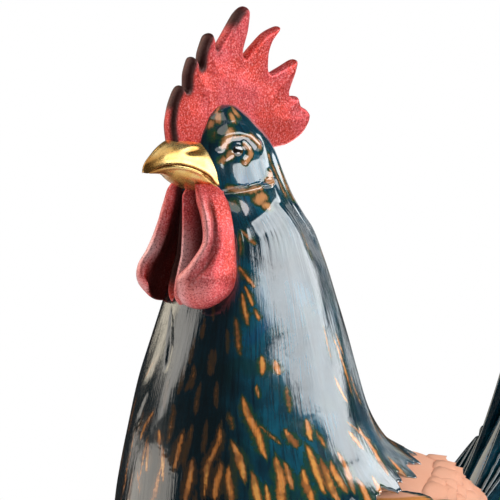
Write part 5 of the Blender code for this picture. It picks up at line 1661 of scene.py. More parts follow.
# %% The tree that sets a form on every point
def setting_tree(name):
    """A node tree that sets a copy of a form on every point, turned by the attributes out and lie."""
    tree = bpy.data.node_groups.new(name, "GeometryNodeTree")
    tree.is_modifier = True
    sockets = {}
    for label, kind in (
        ("Points", "NodeSocketGeometry"), ("Form", "NodeSocketObject"), ("Finish", "NodeSocketMaterial"),
        ("Smallest", "NodeSocketFloat"), ("Largest", "NodeSocketFloat"), ("Swing", "NodeSocketFloat"),
        ("Seed", "NodeSocketInt"),
    ):
        sockets[label] = tree.interface.new_socket(label, in_out="INPUT", socket_type=kind)
    tree.interface.new_socket("Pieces", in_out="OUTPUT", socket_type="NodeSocketGeometry")
    add, wire = tree.nodes.new, tree.links.new
    given, result = add("NodeGroupInput"), add("NodeGroupOutput")

    def attribute(label, kind):
        node = add("GeometryNodeInputNamedAttribute")
        node.data_type = kind
        node.inputs["Name"].default_value = label
        return node.outputs["Attribute"]

    def arithmetic(operation, first, second):
        node = add("ShaderNodeMath")
        node.operation = operation
        for socket, value in zip(node.inputs, (first, second)):
            if isinstance(value, float):
                socket.default_value = value
            else:
                wire(value, socket)
        return node.outputs[0]

    def random_value(least, most, seed):
        node = add("FunctionNodeRandomValue")
        node.data_type = "FLOAT"
        wire(least, node.inputs[2])
        wire(most, node.inputs[3])
        wire(seed, node.inputs["Seed"])
        return node.outputs[1]

    form = add("GeometryNodeObjectInfo")
    wire(given.outputs["Form"], form.inputs["Object"])
    upright = add("FunctionNodeAlignRotationToVector")
    upright.axis = "Z"
    wire(attribute("out", "FLOAT_VECTOR"), upright.inputs["Vector"])
    lie = add("FunctionNodeAlignRotationToVector")
    lie.axis = "Y"
    lie.pivot_axis = "Z"
    wire(upright.outputs["Rotation"], lie.inputs["Rotation"])
    wire(attribute("lie", "FLOAT_VECTOR"), lie.inputs["Vector"])
    least_swing = arithmetic("MULTIPLY", given.outputs["Swing"], -1.0)
    turn = add("ShaderNodeCombineXYZ")
    wire(random_value(least_swing, given.outputs["Swing"], given.outputs["Seed"]), turn.inputs["Z"])
    twist = add("FunctionNodeRotateRotation")
    twist.rotation_space = "LOCAL"
    to_rotation = add("FunctionNodeEulerToRotation")
    wire(turn.outputs[0], to_rotation.inputs[0])
    wire(lie.outputs["Rotation"], twist.inputs["Rotation"])
    wire(to_rotation.outputs[0], twist.inputs["Rotate By"])
    later_seed = arithmetic("ADD", given.outputs["Seed"], 17.0)
    size = random_value(given.outputs["Smallest"], given.outputs["Largest"], later_seed)
    scale = arithmetic("MULTIPLY", size, attribute("size", "FLOAT"))
    setter = add("GeometryNodeInstanceOnPoints")
    wire(given.outputs["Points"], setter.inputs["Points"])
    wire(form.outputs["Geometry"], setter.inputs["Instance"])
    wire(twist.outputs[0], setter.inputs["Rotation"])
    wire(scale, setter.inputs["Scale"])
    real = add("GeometryNodeRealizeInstances")
    wire(setter.outputs["Instances"], real.inputs[0])
    coat = add("GeometryNodeSetMaterial")
    wire(real.outputs[0], coat.inputs["Geometry"])
    wire(given.outputs["Finish"], coat.inputs["Material"])
    wire(coat.outputs["Geometry"], result.inputs[0])
    return tree, sockets


form_tree, form_sockets = setting_tree("set_forms")
print("tree nodes:", len(form_tree.nodes))


# %% Setting forms in rows on a surface
def set_forms(name, points, out, lie, size, form, finish, small=0.85, large=1.15, swing=0.12, seed=3):
    """Sets copies of a form on points and returns them as one plain mesh object."""
    seeds = bpy.data.meshes.new(name + "_points")
    seeds.from_pydata([tuple(p) for p in points], [], [])
    for label, values in (("out", out), ("lie", lie), ("size", size)):
        values = np.asarray(values, dtype=np.float32)
        kind, field = ("FLOAT_VECTOR", "vector") if values.ndim == 2 else ("FLOAT", "value")
        layer = seeds.attributes.new(label, kind, "POINT")
        layer.data.foreach_set(field, values.reshape(-1))
    holder = stand(name + "_points", seeds)
    bpy.context.scene.collection.objects.link(form)
    modifier = holder.modifiers.new("set forms", "NODES")
    modifier.node_group = form_tree
    for label, value in (
        ("Form", form), ("Finish", finish), ("Smallest", float(small)), ("Largest", float(large)),
        ("Swing", float(swing)), ("Seed", int(seed)),
    ):
        modifier[form_sockets[label].identifier] = value
    bpy.context.view_layer.update()
    ready = holder.evaluated_get(bpy.context.evaluated_depsgraph_get())
    mesh = bpy.data.meshes.new_from_object(ready)
    mesh.name = name
    holder.modifiers.clear()
    bpy.data.objects.remove(holder)
    bpy.context.scene.collection.objects.unlink(form)
    if not mesh.materials:
        mesh.materials.append(finish)
    return stand(name, mesh)


def tangent_frames(point_at, u, v, step=1e-3):
    """Outward direction and the direction of growing u, for a surface given as a function of u and v."""
    here = point_at(u, v)
    du = point_at(u + step, v) - point_at(u - step, v)
    dv = point_at(u, v + step) - point_at(u, v - step)
    out = np.cross(du, dv)
    out /= np.linalg.norm(out, axis=1)[:, None] + 1e-12
    du /= np.linalg.norm(du, axis=1)[:, None] + 1e-12
    return here, out, du


def in_rows(shares, around):
    """Places in rows that alternate like tiles: each place's share along and its turn round."""
    along, turns = [], []
    for row, share in enumerate(shares):
        count = around(share)
        along += [share] * count
        turns += [2 * math.pi * (k + 0.5 * (row % 2)) / count for k in range(count)]
    return np.array(along), np.array(turns)


print("places in two rows of 17:", len(in_rows((0.0, 1.0), lambda share: 17)[0]))

# %% Breast, flank and rump feathers
tile_u, tile_v = in_rows(np.linspace(0.03, 0.955, 31), lambda share: 34 if 0.08 < share < 0.9 else 24)
rng = np.random.default_rng(11)
tile_u = tile_u + rng.uniform(-0.003, 0.003, len(tile_u))
tile_v = tile_v + rng.uniform(-0.02, 0.02, len(tile_v))
place, out, lie = tangent_frames(trunk_point, tile_u, tile_v)
centre = np.stack([0 * tile_u, place[:, 1], 0 * tile_u + TRUNK_MIDDLE], axis=1)
out *= np.sign(np.sum(out * (place - centre), axis=1))[:, None]
smooth_back = (np.cos(tile_v) > 0.55) & (tile_u < 0.66)
width_here = along_table(TRUNK_SECTIONS, tile_u)[:, 0]
keep = ~smooth_back & (place[:, 2] < 232 * MM + 0.25 * np.maximum(0, place[:, 1] - NECK_AXIS_Y - 0.03))
size = (0.45 + 0.62 * width_here) * np.where(tile_u < 0.1, 0.8, 1.0)
body_feathers = set_forms(
    "body_feathers", place[keep], out[keep], lie[keep], size[keep],
    small_feather("body_feather", 15 * MM, 11.5 * MM, 0.9 * MM), peach, seed=5,
)
dress(body_feathers, peach, "trunk")
print("body feathers:", int(keep.sum()), "with", triangles(body_feathers), "triangles")

# %% [markdown]
# A wing is four tiers of feathers, each tier a thin plate that follows the flank and stands a little
# prouder than the one under it. Every feather has its own rounded tip, a quill along its middle and a
# painted pattern: amber along the quill, then dark teal in the outer part of the long flight feathers.

# %% Flank and plates
FEATHERS_PER_TIER = (6, 8, 7, 6)
# each tier: where its upper and lower quills start and end, as shares of the trunk's length and depth
WING_TIERS = [
    ((0.578, 0.868), (0.618, 0.403), (1.059, 0.651), (0.873, 0.326)),
    ((0.441, 0.915), (0.431, 0.295), (0.922, 0.791), (0.755, 0.264)),
    ((0.304, 0.922), (0.284, 0.326), (0.647, 0.884), (0.539, 0.264)),
    ((0.196, 0.868), (0.176, 0.481), (0.422, 0.915), (0.333, 0.310)),
]
WING_LIFT, WING_STEP, WING_TIP_STAND = 4.5 * MM, 1.8 * MM, 21 * MM


def flank(reach, height, lift, least):
    """Points on the left flank, lifted off along the surface. The reach runs back from the neck's axis."""

    def surface(reach_at, height_at):
        width, top, bottom = trunk_section((reach_at + BREAST_REACH) / TRUNK_LENGTH)
        off = np.minimum(0.96, np.abs(height_at - (top + bottom) / 2) / ((top - bottom) / 2))
        x = width * TRUNK_WIDTH / 2 * (1 - off**SQUARENESS) ** (1 / SQUARENESS)
        return np.stack([x, NECK_AXIS_Y + reach_at, height_at], axis=-1)

    here = surface(reach, height)
    along = surface(reach + MM, height) - surface(reach - MM, height)
    up = surface(reach, height + MM) - surface(reach, height - MM)
    normal = np.cross(along, up)
    normal /= np.linalg.norm(normal, axis=-1)[..., None]
    point = here + normal * lift[..., None]
    point[..., 0] = np.maximum(point[..., 0], least)
    return point


def plate(name, over, under, paint, seam=True):
    """A closed skin over two sheets of points whose rims meet."""
    if seam:
        for edge in (0, -1):
            over[edge] = under[edge] = (over[edge] + under[edge]) / 2
    grid = np.concatenate([over, under[:, ::-1]], axis=1)
    paint = {label: np.concatenate([v, v[:, ::-1]], axis=1) for label, v in paint.items()}
    return skin(name, grid, ends=(False, False), paint=paint)


print("feathers in a wing:", sum(FEATHERS_PER_TIER))


# %% Wing tiers
def wing_tier(name, layer, side, rows=84):
    """One tier of a wing as a closed plate, with its feathers in relief and in paint."""
    feathers = FEATHERS_PER_TIER[layer]
    top_root, low_root, top_tip, low_tip = WING_TIERS[layer]
    columns = feathers * 18 + 1
    across, along = np.meshgrid(np.linspace(0, 1, columns), np.linspace(0, 1, rows))
    cell = across * feathers
    within = cell - np.floor(np.minimum(cell, feathers - 1e-6))
    within = np.where(across == 1, 1.0, within)
    off_quill = within * 2 - 1
    wave = -np.cos(2 * math.pi * cell)
    bow = np.sin(math.pi * across)
    start = top_root[0] + (low_root[0] - top_root[0]) * across - 0.03 * bow
    end = top_tip[0] + (low_tip[0] - top_tip[0]) * across + 0.025 * bow
    tip = 0.026 * (1 - 2 * np.abs(off_quill) ** 2.6)
    reach = (start + (end - start) * along + tip * along**5) * TRUNK_LENGTH - BREAST_REACH
    root_height = top_root[1] + (low_root[1] - top_root[1]) * across
    tip_height = top_tip[1] + (low_tip[1] - top_tip[1]) * across
    height = BELLY_HEIGHT + (root_height + (tip_height - root_height) * along) * (BACK_HEIGHT - BELLY_HEIGHT)
    quill = mound(off_quill, 0, 0.13) * smoothstep(1.0, 0.85, along)
    tilt = 0.55 * off_quill * smoothstep(0.1, 0.4, along)
    barb = 0.11 * np.sin((along * 70 - np.abs(off_quill) * 6) * 2.2)
    edge = smoothstep(1.0, 0.88, np.abs(off_quill))
    ridge = 0.45 * wave + 0.55 * quill + tilt * (0.4 + 0.6 * edge) + barb * edge
    ridge = ridge * smoothstep(0, 0.25, along)
    rim = np.minimum(1.0, 5 * np.minimum(across, 1 - across) + 0.4)
    taper = np.clip((1 - along) * 26, 0.30, 1)
    lift = ((WING_LIFT + layer * WING_STEP + 0.8 * MM * along) * rim + ridge * MM) * taper ** 0.35
    under_lift = np.full_like(lift, -0.8 * MM)
    over = flank(reach, height, lift, (WING_TIP_STAND + WING_LIFT) * np.ones_like(lift) + ridge * 0.6 * MM)
    under = flank(reach, height, under_lift, (WING_TIP_STAND - layer * 0.1 * MM) * np.ones_like(lift))
    rng = np.random.default_rng(40 + layer)
    feather_of = np.minimum(np.floor(cell), feathers - 1).astype(int)
    tone = rng.uniform(0.7, 1.0, feathers)[feather_of]
    reach_in = rng.uniform(-0.08, 0.08, feathers)[feather_of]
    strong = 0.95 if layer < 3 else 0.65
    amber = tone * smoothstep(0.55, 0.0, np.abs(off_quill)) * smoothstep(0.05, 0.4, along) * strong
    teal_from = (0.34, 0.46, 0.66, 0.80)[layer] + reach_in
    teal = smoothstep(teal_from, teal_from + 0.28, along - 0.10 * (1 - np.abs(off_quill)))
    # painted shade along each feather's edges, between the feathers
    fold = smoothstep(0.86, 1.0, np.abs(off_quill)) * smoothstep(0.05, 0.2, along)
    for sheet in (over, under):
        sheet[..., 0] *= side
    return plate(name, over, under, {"amber": amber, "teal": teal, "fold": fold})


for label, side in (("left", 1), ("right", -1)):
    tiers = [wing_tier(f"{label}_wing_feathers_{layer}", layer, side) for layer in range(4)]
    wing = join(f"{label}_wing_feathers", tiers)
    dress(wing, peach, f"{label}_wing")
print("each wing:", triangles(wing), "triangles")

# %% [markdown]
# The tail is glazed like the neck. In the middle stands a fan of stiff feathers, and four sickles hang over
# it on each side. A sickle follows a guide curve. The blade's width and thickness are set along it, and its
# vane is split here and there, as real vanes are when the barbs part.

# %% Tail fan
TAIL_Y = NECK_AXIS_Y + RUMP_REACH
FAN_ROOT = (-16, -49)
FAN_TOP, FAN_LOW = (56, 160), (4, 118)
FAN_FEATHERS = 7
TAIL_PLATE = 9 * MM


def fan_skin(rows=120):
    """The fan: stiff feathers side by side, each with a quill and a rounded tip."""
    columns = FAN_FEATHERS * 20 + 1
    across, along = np.meshgrid(np.linspace(0, 1, columns), np.linspace(0, 1, rows) ** 0.9)
    cell = across * FAN_FEATHERS
    off = np.where(across == 1, 1.0, (cell - np.floor(np.minimum(cell, FAN_FEATHERS - 1e-6))) * 2 - 1)
    wave = -np.cos(2 * math.pi * cell)
    angle = np.radians(FAN_TOP[0] + (FAN_LOW[0] - FAN_TOP[0]) * across)
    length = FAN_TOP[1] + (FAN_LOW[1] - FAN_TOP[1]) * across
    far = 12 + (length - 12 + 6 * (1 - 2 * np.abs(off) ** 2.4) * along**4) * along
    quill = mound(off, 0, 0.10) * smoothstep(1.0, 0.9, along)
    barb = 0.08 * np.sin((along * 120 - np.abs(off) * 7) * 1.7) * smoothstep(1.0, 0.85, np.abs(off))
    ridge = (0.35 * wave + 0.55 * quill + 0.4 * off + barb) * smoothstep(0.1, 0.4, along)
    half = (4.2 * (1 - 0.35 * along) + ridge) * np.clip((1 - along) * 30, 0.12, 1) ** 0.5 * MM
    half = half * np.clip(np.minimum(across, 1 - across) * 60, 0.1, 1) ** 0.4
    y = TAIL_Y + (FAN_ROOT[0] + far * np.cos(angle)) * MM
    z = BACK_HEIGHT + (FAN_ROOT[1] + far * np.sin(angle)) * MM
    amber = smoothstep(0.35, 0.0, np.abs(off)) * smoothstep(0.75, 0.2, along)
    amber = amber * (0.5 + 0.5 * np.sin(along * 60 + cell * 2.1))
    deep = 0.5 * smoothstep(0.6, 1.0, np.abs(off))
    return plate(
        "tail_fan_feathers", np.stack([half, y, z], -1), np.stack([-half, y, z], -1),
        {"amber": amber, "deep": deep, "plume": np.full_like(deep, 0.8)},
    )


fan = dress(fan_skin(), tail_glaze, "tail_fan")
print("tail fan:", triangles(fan), "triangles")

# %% Sickles
SICKLES = [
    ((-4, -41), (67, 32), (74, 217), (142, 32), 1.0),
    ((-6, -42), (60, 17), (94, 149), (126, -13), 0.95),
    ((-10, -43), (50, 3), (82, 87), (100, -53), 0.9),
    ((-16, -44), (36, -11), (62, 35), (70, -85), 0.85),
]
SICKLE_THICKNESS, SICKLE_WIDTH, SEAT = 3.6, 26.0, 0.3


def guide_curve(points, at):
    """Points of a curve with four guides, at shares of its run."""
    w = np.stack([(1 - at) ** 3, 3 * at * (1 - at) ** 2, 3 * at * at * (1 - at), at**3], axis=-1)
    return w @ np.array(points, dtype=float)


def sickle_skin(label, side, order, rows=230, columns=33):
    """One sickle: a blade along its guide curve, thin at the edges, with its vane split here and there."""
    *points, share = SICKLES[order]
    inside = TAIL_PLATE / MM / 2 + SEAT + order * (SICKLE_THICKNESS + SEAT)
    at = np.linspace(0, 1, rows)
    line = guide_curve(points, at)
    run = guide_curve(points, np.minimum(1, at + 0.004)) - guide_curve(points, np.maximum(0, at - 0.004))
    run /= np.linalg.norm(run, axis=1)[:, None]
    width = SICKLE_WIDTH / 2 * share * (0.62 + 0.38 * np.sin(math.pi * at)) * (1 - at**7 * 0.93)
    across = np.linspace(-1, 1, columns)[None, :]
    rng = np.random.default_rng(60 + order + (10 if side < 0 else 0))
    notch = np.zeros((rows, columns))
    for centre in rng.uniform(0.22, 0.93, 9):
        edge = rng.choice((-1, 1))
        deep = rng.uniform(0.10, 0.26)
        slant = at[:, None] + 0.035 * (1 - np.abs(across))
        cut = mound(slant, centre, 0.006) * smoothstep(1 - 2.2 * deep, 1.0, across * edge)
        notch = np.maximum(notch, cut * deep)
    spread = across * (1 - notch * np.abs(across))
    y = line[:, :1] - run[:, 1:] * width[:, None] * spread
    z = line[:, 1:] + run[:, :1] * width[:, None] * spread
    flare = 9.0 * np.maximum(0.0, (y - 12) / 130) ** 1.5
    quill = mound(across, 0, 0.09) * (1 - at[:, None] ** 3)
    barb = 0.08 * np.sin(at[:, None] * 260 * share - np.abs(across) * 9)
    barb = barb * smoothstep(1.0, 0.8, np.abs(across))
    thick = SICKLE_THICKNESS * (0.34 + 0.46 * (1 - np.abs(across) ** 1.6)) + 0.7 * quill + barb - 1.2 * notch
    thick = np.maximum(thick, 0.3) * np.clip((1 - at[:, None]) * 25, 0.3, 1) ** 0.5
    x = inside + flare
    scale = lambda x_mm: np.stack([side * x_mm * MM, TAIL_Y + y * MM, BACK_HEIGHT + z * MM], axis=-1)
    amber = smoothstep(0.5, 0.05, np.abs(across)) * smoothstep(0.62, 0.12, at[:, None])
    amber = amber * (0.45 + 0.55 * np.sin(at[:, None] * 70 + across * 3 + order))
    deep = 0.6 * smoothstep(0.5, 1.0, np.abs(across)) + 0.6 * smoothstep(0.7, 1.0, at[:, None])
    plume = np.full_like(thick, 0.8)
    paint = {"amber": np.clip(amber, 0, 1), "deep": np.clip(deep, 0, 1) + 0 * thick, "plume": plume}
    return plate(f"{label}_sickle_blade_{order + 1}", scale(x + thick), scale(x + 0 * thick), paint)


for label, side in (("left", 1), ("right", -1)):
    for order in range(4):
        blade = sickle_skin(label, side, order)
        dress(blade, tail_glaze, f"{label}_sickle_{order + 1}")
print("each sickle:", triangles(blade), "triangles")

# %% [markdown]
# The legs: feathered thighs in the body's peach, then gilded shanks and feet. A shank's front is plated
# with scutes, broad overlapping scales, and the rest has small round ones. Here the scutes are a saw-tooth
# rule along the shank, so each plate starts low and ends in a little step.

# %% Thighs
THIGH_SECTIONS = [
    (0.00, 7.5, 8.0, 8.0), (0.12, 10.5, 11.5, 6.5), (0.34, 16.0, 19.0, 2.5), (0.60, 20.5, 25.0, -3.0),
    (1.00, 22.0, 28.0, -9.0),
]
THIGH_LENGTH = TRUNK_MIDDLE - 16 * MM - HOCK_HEIGHT


def thigh_point(share, turn, side=1.0, lift=0.0):
    """Points of a thigh, from the hock (0) up into the belly (1)."""
    width, depth, back = np.moveaxis(along_table(THIGH_SECTIONS, share), -1, 0)
    return np.stack(
        [
            side * (STANCE / 2) + np.sin(turn) * (width * MM + lift),
            LEG_Y + back * MM + np.cos(turn) * (depth * MM + lift),
            HOCK_HEIGHT + THIGH_LENGTH * share + 0 * turn,
        ],
        axis=-1,
    )


thigh_tile = small_feather("thigh_feather", 11 * MM, 8.5 * MM, 0.8 * MM)
for label, side in (("left", 1), ("right", -1)):
    share_grid, turn_grid = np.meshgrid(np.linspace(1, 0, 90), once_round(96), indexing="ij")
    bump = 0.5 * MM * np.sin(turn_grid * 9 + share_grid * 20) * share_grid
    thigh_grid = thigh_point(share_grid, turn_grid, side, bump)
    # painted shade low on the thigh, where it meets the shank
    thigh = skin(f"{label}_thigh_form", thigh_grid, paint={"fold": smoothstep(0.15, 0, share_grid)})
    u, v = in_rows(np.linspace(0.045, 0.80, 13), lambda share: 17)
    place, out, rising = tangent_frames(lambda a, b: thigh_point(a, b, side), u, v)
    axis = np.stack([0 * u + side * STANCE / 2, LEG_Y + 0 * u, place[:, 2]], axis=1)
    out *= np.sign(np.sum(out * (place - axis), axis=1))[:, None]
    down = -rising
    size = 0.62 + 0.5 * u
    feathers = set_forms(f"{label}_thigh_feathers", place, out, down, size, thigh_tile, peach, seed=9)
    thigh.data.materials.append(peach)
    both = join(f"{label}_thigh_plumage", [thigh, feathers])
    dress(both, peach, f"{label}_thigh")
print("each thigh:", triangles(both), "triangles")

# %% Shanks and feet
SHANK_DIAMETER, TOE_DIAMETER, TOE_LENGTH, SPUR_LENGTH = 11 * MM, 7.6 * MM, 46 * MM, 11 * MM
TOES = ((-4, 1.0), (-36, 0.86), (30, 0.84), (168, 0.52))
FOOT_TOP = BASE_HEIGHT + TOE_DIAMETER * 1.25


def shank_skin(label, side, rows=190, columns=56):
    """A shank, plated in front and pebbled behind."""
    low, high = FOOT_TOP + 0.3 * MM, HOCK_HEIGHT - 0.3 * MM
    share = np.linspace(0, 1, rows)[:, None]
    turn = once_round(columns)[None, :]
    wide = along_table([(0.0, 1.22), (0.12, 1.0), (0.5, 0.94), (0.82, 1.04), (1.0, 1.3)], share[:, 0])
    radius = SHANK_DIAMETER / 2 * wide
    facing = -np.cos(turn)
    saw = (share * 15) % 1.0
    scute = 0.50 * MM * (saw**0.8) * smoothstep(0.15, 0.65, facing)
    pebble = 0.16 * MM * np.sin(share * 150 + (np.floor(turn * 9) % 2) * math.pi) * np.sin(turn * 18)
    pebble = pebble * smoothstep(0.3, -0.2, facing)
    groove = 0.35 * MM * mound(facing, 0.30, 0.12)
    r = radius + scute + pebble - groove - 0.2 * MM
    x = side * STANCE / 2 + np.sin(turn) * r
    y = LEG_Y + 8 * MM * share + np.cos(turn) * r * 1.08
    grid = np.stack([x, y, low + (high - low) * share + 0 * x], axis=-1)
    # painted shade at each scute's step and in the groove beside the plates
    fold = smoothstep(0.35, 0.0, saw) * smoothstep(0.1, 0.6, facing) + groove / (0.35 * MM) * 0.7
    return skin(f"{label}_shank_scales", grid, paint={"fold": np.clip(fold, 0, 1)})


def tapering_horn(name, line, radii, rows=46, columns=28, scales=0, flat=0.0):
    """A round horn or toe along a smooth line, with scutes on its upper side where scales is above 0."""
    line, radii = np.array(line), np.array(radii)
    table = [(i / (len(line) - 1), *line[i], radii[i]) for i in range(len(line))]
    at = np.linspace(0, 1, rows)
    values = along_table(table, at)
    centre, radius = values[:, :3], values[:, 3]
    run = np.gradient(centre, axis=0)
    run /= np.linalg.norm(run, axis=1)[:, None]
    side = np.cross(run, np.array([0.0, 0.0, 1.0]))
    side /= np.linalg.norm(side, axis=1)[:, None]
    over = np.cross(side, run)
    turn = once_round(columns)[None, :, None]
    saw = (at * scales) % 1.0
    top = smoothstep(0.2, 0.7, np.sin(turn))
    lift = 0.32 * MM * (saw**0.8)[:, None, None] * top * (at < 0.80)[:, None, None]
    r = radius[:, None, None] * np.clip((1 - at) * 22, 0.02, 1)[:, None, None] ** 0.45 + lift
    grid = centre[:, None] + side[:, None] * np.cos(turn) * r + over[:, None] * np.sin(turn) * r
    grid[..., 2] = np.maximum(grid[..., 2], flat)
    # painted shade at each scute's step on the toes
    fold = smoothstep(0.4, 0.0, saw)[:, None] * top[..., 0] if scales else np.zeros((rows, columns))
    return skin(name, grid, paint={"fold": fold})


for label, side in (("left", 1), ("right", -1)):
    shank = shank_skin(label, side)
    low, high = FOOT_TOP, HOCK_HEIGHT
    root = np.array([side * STANCE / 2, LEG_Y + 2.6 * MM, low + 0.33 * (high - low)])
    way = np.array([-side * 0.45, 0.86, 0.22])
    tip = root + way / np.linalg.norm(way) * (SHANK_DIAMETER / 2 + SPUR_LENGTH)
    bend = (root + tip) / 2 - np.array([0, 0, 0.9 * MM])
    spur = tapering_horn(f"{label}_spur", [root, bend, tip], [3.0 * MM, 2.2 * MM, 0.5 * MM])
    shank = join(f"{label}_shank_scales", [shank, spur])
    dress(shank, gilding, f"{label}_shank")
    ground = BASE_HEIGHT + 0.3 * MM
    middle = np.array([side * STANCE / 2, LEG_Y, ground + TOE_DIAMETER * 0.5])
    share = np.linspace(0, 1, 40)
    turn = once_round(64)
    knuckle_table = [(0.0, 7.4, 0.0), (0.36, 8.6, 0.45), (0.76, 7.8, 0.95), (1.0, 6.6, 1.25)]
    radius, rise = np.moveaxis(along_table(knuckle_table, share), -1, 0)
    pad = radius[:, None] + 0.25 * np.sin(turn * 9)[None] * np.sin(share * 14)[:, None]
    knuckle_grid = np.stack(
        [
            middle[0] + np.sin(turn)[None] * pad * MM,
            middle[1] + np.cos(turn)[None] * pad * MM,
            (ground + rise * (TOE_DIAMETER - 0.24 * MM))[:, None] + 0 * pad,
        ],
        axis=-1,
    )
    # painted shade at the bottom of the foot, where it sits on the base
    knuckle_fold = smoothstep(0.3, 0, share)[:, None] + 0 * pad
    parts = [skin(f"{label}_foot_scales", knuckle_grid, paint={"fold": knuckle_fold})]
    for order, (angle, length) in enumerate(TOES):
        heading = np.array([math.sin(math.radians(angle)) * side, -math.cos(math.radians(angle)), 0])
        reach = TOE_LENGTH * length
        steps = ((0.05, 0.0), (0.40, 0.8), (0.70, -0.4), (0.84, 0.5), (1.02, -1.9))
        line = [middle + heading * reach * share + np.array([0, 0, rise * MM]) for share, rise in steps]
        radii = [TOE_DIAMETER * thick for thick in (0.62, 0.50, 0.53, 0.34)] + [0.9 * MM]
        scales = int(14 * length)
        parts.append(tapering_horn(f"{label}_toe_{order}", line, radii, rows=110, scales=scales, flat=ground))
    foot = join(f"{label}_foot_scales", parts)
    dress(foot, gilding, f"{label}_foot")
print("each shank:", triangles(shank), "each foot:", triangles(foot), "triangles")

# %% [markdown]
# The base is a slab of modelled ground: rock ledges at the rim, worn flat on top where the feet stand. The
# ledges come from a rule for the outline at each height plus sums of waves; tufts and pebbles are set by
# the same node tree that set the feathers.

# %% Base form
BASE_LENGTH, BASE_WIDTH = 168 * MM, 132 * MM
WALL_ROWS, TOP_ROWS, BASE_COLUMNS = 150, 40, 360


def ground_noise(x, y, z, seed, octaves=5, first=38.0):
    """Sums of turned waves, seeded, as a cheap rough field. Arguments in metres, result about -1 to 1."""
    rng = np.random.default_rng(seed)
    total = np.zeros(np.broadcast(x, y, z).shape)
    weight, norm = 1.0, 0.0
    for octave in range(octaves):
        for _ in range(4):
            way = rng.normal(size=3)
            way /= np.linalg.norm(way)
            along = (x * way[0] + y * way[1] + z * way[2]) * first * 2**octave * 6.28
            total += weight * np.sin(along + rng.uniform(0, 6.28))
        norm += weight * 2
        weight *= 0.55
    return total / norm


def base_rim(turn):
    """The wavy outline of the base."""
    wave = 1 + 0.035 * np.sin(3 * turn + 0.6) + 0.022 * np.sin(5 * turn + 2.1)
    return np.sin(turn) * BASE_WIDTH / 2 * wave, -np.cos(turn) * BASE_LENGTH / 2 * wave


# each row: share of the way down the wall, height as a share of the base's, growth outwards (mm)
LEVELS = [
    (0.00, 0.0, -2.5), (0.16, 0.02, -1.0), (0.22, 0.10, 0.0), (0.36, 0.34, 0.8), (0.50, 0.58, -2.0),
    (0.64, 0.80, -7.5), (0.76, 0.93, -13.0), (0.86, 1.0, -20.0), (1.0, 1.0, -46.0),
]
at = np.linspace(0, 1, WALL_ROWS)
turn = once_round(BASE_COLUMNS)
level, grow = np.moveaxis(along_table(LEVELS, at), -1, 0)
rim_x, rim_y = base_rim(turn)
rim_length = np.hypot(rim_x, rim_y)
x = rim_x[None] * (1 + grow[:, None] * MM / rim_length[None])
y = rim_y[None] * (1 + grow[:, None] * MM / rim_length[None])
z = BASE_HEIGHT * level[:, None] + 0 * x
side_rock = smoothstep(0.02, 0.2, at)[:, None] * smoothstep(1.0, 0.80, at)[:, None]
rough = ground_noise(x, y, z * 1.8, 3)
crack = smoothstep(0.09, 0.0, np.abs(ground_noise(x, y, z * 1.5, 8, 3, 24.0)))
push = (1.9 * rough - 1.1 * crack) * side_rock * MM
x = x * (1 + push / rim_length[None])
y = y * (1 + push / rim_length[None])
feet_zone = smoothstep(0.86, 0.74, at)[:, None]
z = z + 0.7 * MM * rough * smoothstep(0.10, 0.4, at)[:, None] * feet_zone
z = z - 0.25 * MM * smoothstep(0.80, 0.90, at)[:, None]
# painted shade in the cracks and the sunken parts of the rock
fold = np.clip((0.8 * crack + 0.5 * smoothstep(0.1, -0.6, rough)) * side_rock, 0, 1)
base_wall = np.stack([x, y, np.maximum(z, 0)], axis=-1)
rings = [base_wall]
for shrink in np.linspace(0.92, 0.04, TOP_ROWS):
    ring = base_wall[-1].copy()
    ring[:, :2] *= shrink
    ripple = ground_noise(ring[:, 0], ring[:, 1], 0 * ring[:, 0], 21, 4, 60.0)
    ring[:, 2] = BASE_HEIGHT - 0.25 * MM + 0.22 * MM * ripple
    rings.append(ring[None])
base_grid = np.vstack(rings)
fold_all = np.vstack([fold, np.zeros((TOP_ROWS, BASE_COLUMNS))])
base = skin("rock_base", base_grid, paint={"fold": fold_all})
dress(base, stone, "base")
print("base:", triangles(base), "triangles")

# %% Pebbles and tufts
def pebble_form(name):
    """An uneven, flattened pebble."""
    work = bmesh.new()
    bmesh.ops.create_icosphere(work, subdivisions=1, radius=1.0 * MM)
    local = np.random.default_rng(5)
    for vertex in work.verts:
        vertex.co *= 1 + 0.16 * local.uniform(-1, 1)
        vertex.co.z *= 0.62
        vertex.co.y *= 1.25
    mesh = bpy.data.meshes.new(name)
    work.to_mesh(mesh)
    work.free()
    mesh.shade_smooth()
    return bpy.data.objects.new(name, mesh)


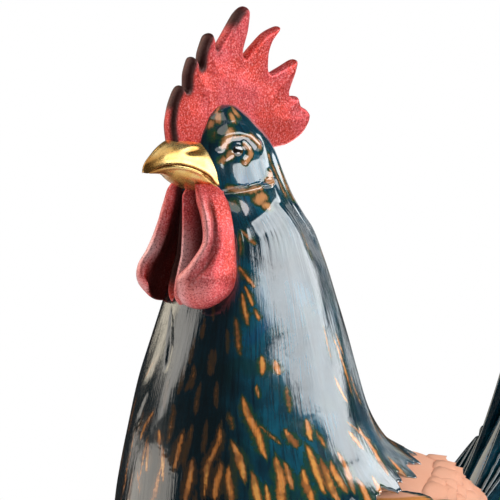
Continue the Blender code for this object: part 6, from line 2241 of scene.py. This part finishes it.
def blade_form(name):
    """Three grass blades from one root, each bending out."""
    work = bmesh.new()
    for k in range(3):
        lean, height = 0.35 + 0.2 * k, (7.5 - 1.4 * k) * MM
        angle = k * 2.2
        outwards = Vector((math.cos(angle), math.sin(angle), 0))
        rings = []
        for step in range(6):
            s = step / 5
            rise = height * (s - 0.25 * s * s) - 0.5 * MM
            centre = outwards * (lean * height * s * s) + Vector((0, 0, rise))
            wide = 0.75 * MM * (1 - s) ** 0.6 + 0.06 * MM
            across = Vector((-math.sin(angle), math.cos(angle), 0)) * wide
            thick = outwards * wide * 0.4
            rings.append([work.verts.new(centre + v) for v in (across, thick, -across, -thick)])
        for a, b in zip(rings, rings[1:]):
            for j in range(4):
                work.faces.new((a[j], a[(j + 1) % 4], b[(j + 1) % 4], b[j]))
        work.faces.new(rings[0])
        work.faces.new(rings[-1])
    bmesh.ops.recalc_face_normals(work, faces=work.faces)
    mesh = bpy.data.meshes.new(name)
    work.to_mesh(mesh)
    work.free()
    return bpy.data.objects.new(name, mesh)


def ground_spots(count, low, high, seed):
    """Places on the base between two shares of its wall, with the way out of the ground and a way to lie."""
    rng = np.random.default_rng(seed)
    spots, outs = [], []
    while len(spots) < count:
        row = rng.integers(int(low * WALL_ROWS), int(high * WALL_ROWS))
        column = rng.integers(0, BASE_COLUMNS)
        p = base_grid[row, column]
        a = base_grid[row, (column + 1) % BASE_COLUMNS] - p
        b = base_grid[min(row + 1, len(base_grid) - 1), column] - p
        n = np.cross(a, b)
        n = n / (np.linalg.norm(n) + 1e-12)
        spots.append(p)
        outs.append(n if n[2] > 0 else -n)
    spots, outs = np.array(spots), np.array(outs)
    lies = np.stack([rng.normal(size=count), rng.normal(size=count), 0.1 * rng.normal(size=count)], axis=1)
    return spots, outs, lies / np.linalg.norm(lies, axis=1)[:, None]


rng = np.random.default_rng(77)
spots, outs, lies = ground_spots(260, 0.55, 0.84, 31)
sizes = rng.uniform(0.6, 1.9, len(spots))
pebbles = set_forms("pebbles", spots, outs, lies, sizes, pebble_form("pebble"), stone, seed=2, swing=3.0)
spots, outs, lies = ground_spots(70, 0.62, 0.80, 55)
sizes = rng.uniform(0.6, 1.1, len(spots))
upright = outs * 0.4 + np.array([0, 0, 1.0])
upright /= np.linalg.norm(upright, axis=1)[:, None]
tufts = set_forms("tufts", spots, upright, lies, sizes, blade_form("tuft"), stone, seed=4, swing=3.0)
for piece in (pebbles, tufts):
    dress(piece, stone, "base")
print("pebbles and tufts:", triangles(pebbles) + triangles(tufts), "triangles")

# %% [markdown]
# Last, the whole bird is measured, and its size box is set beside that of the castings.

# %% Measure and finish
now_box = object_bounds()
as_lists = lambda box: [[float(v) for v in corner] for corner in box]
{"cad": as_lists(cad_box), "visual": as_lists(now_box)}
print("size box:", as_lists(now_box))
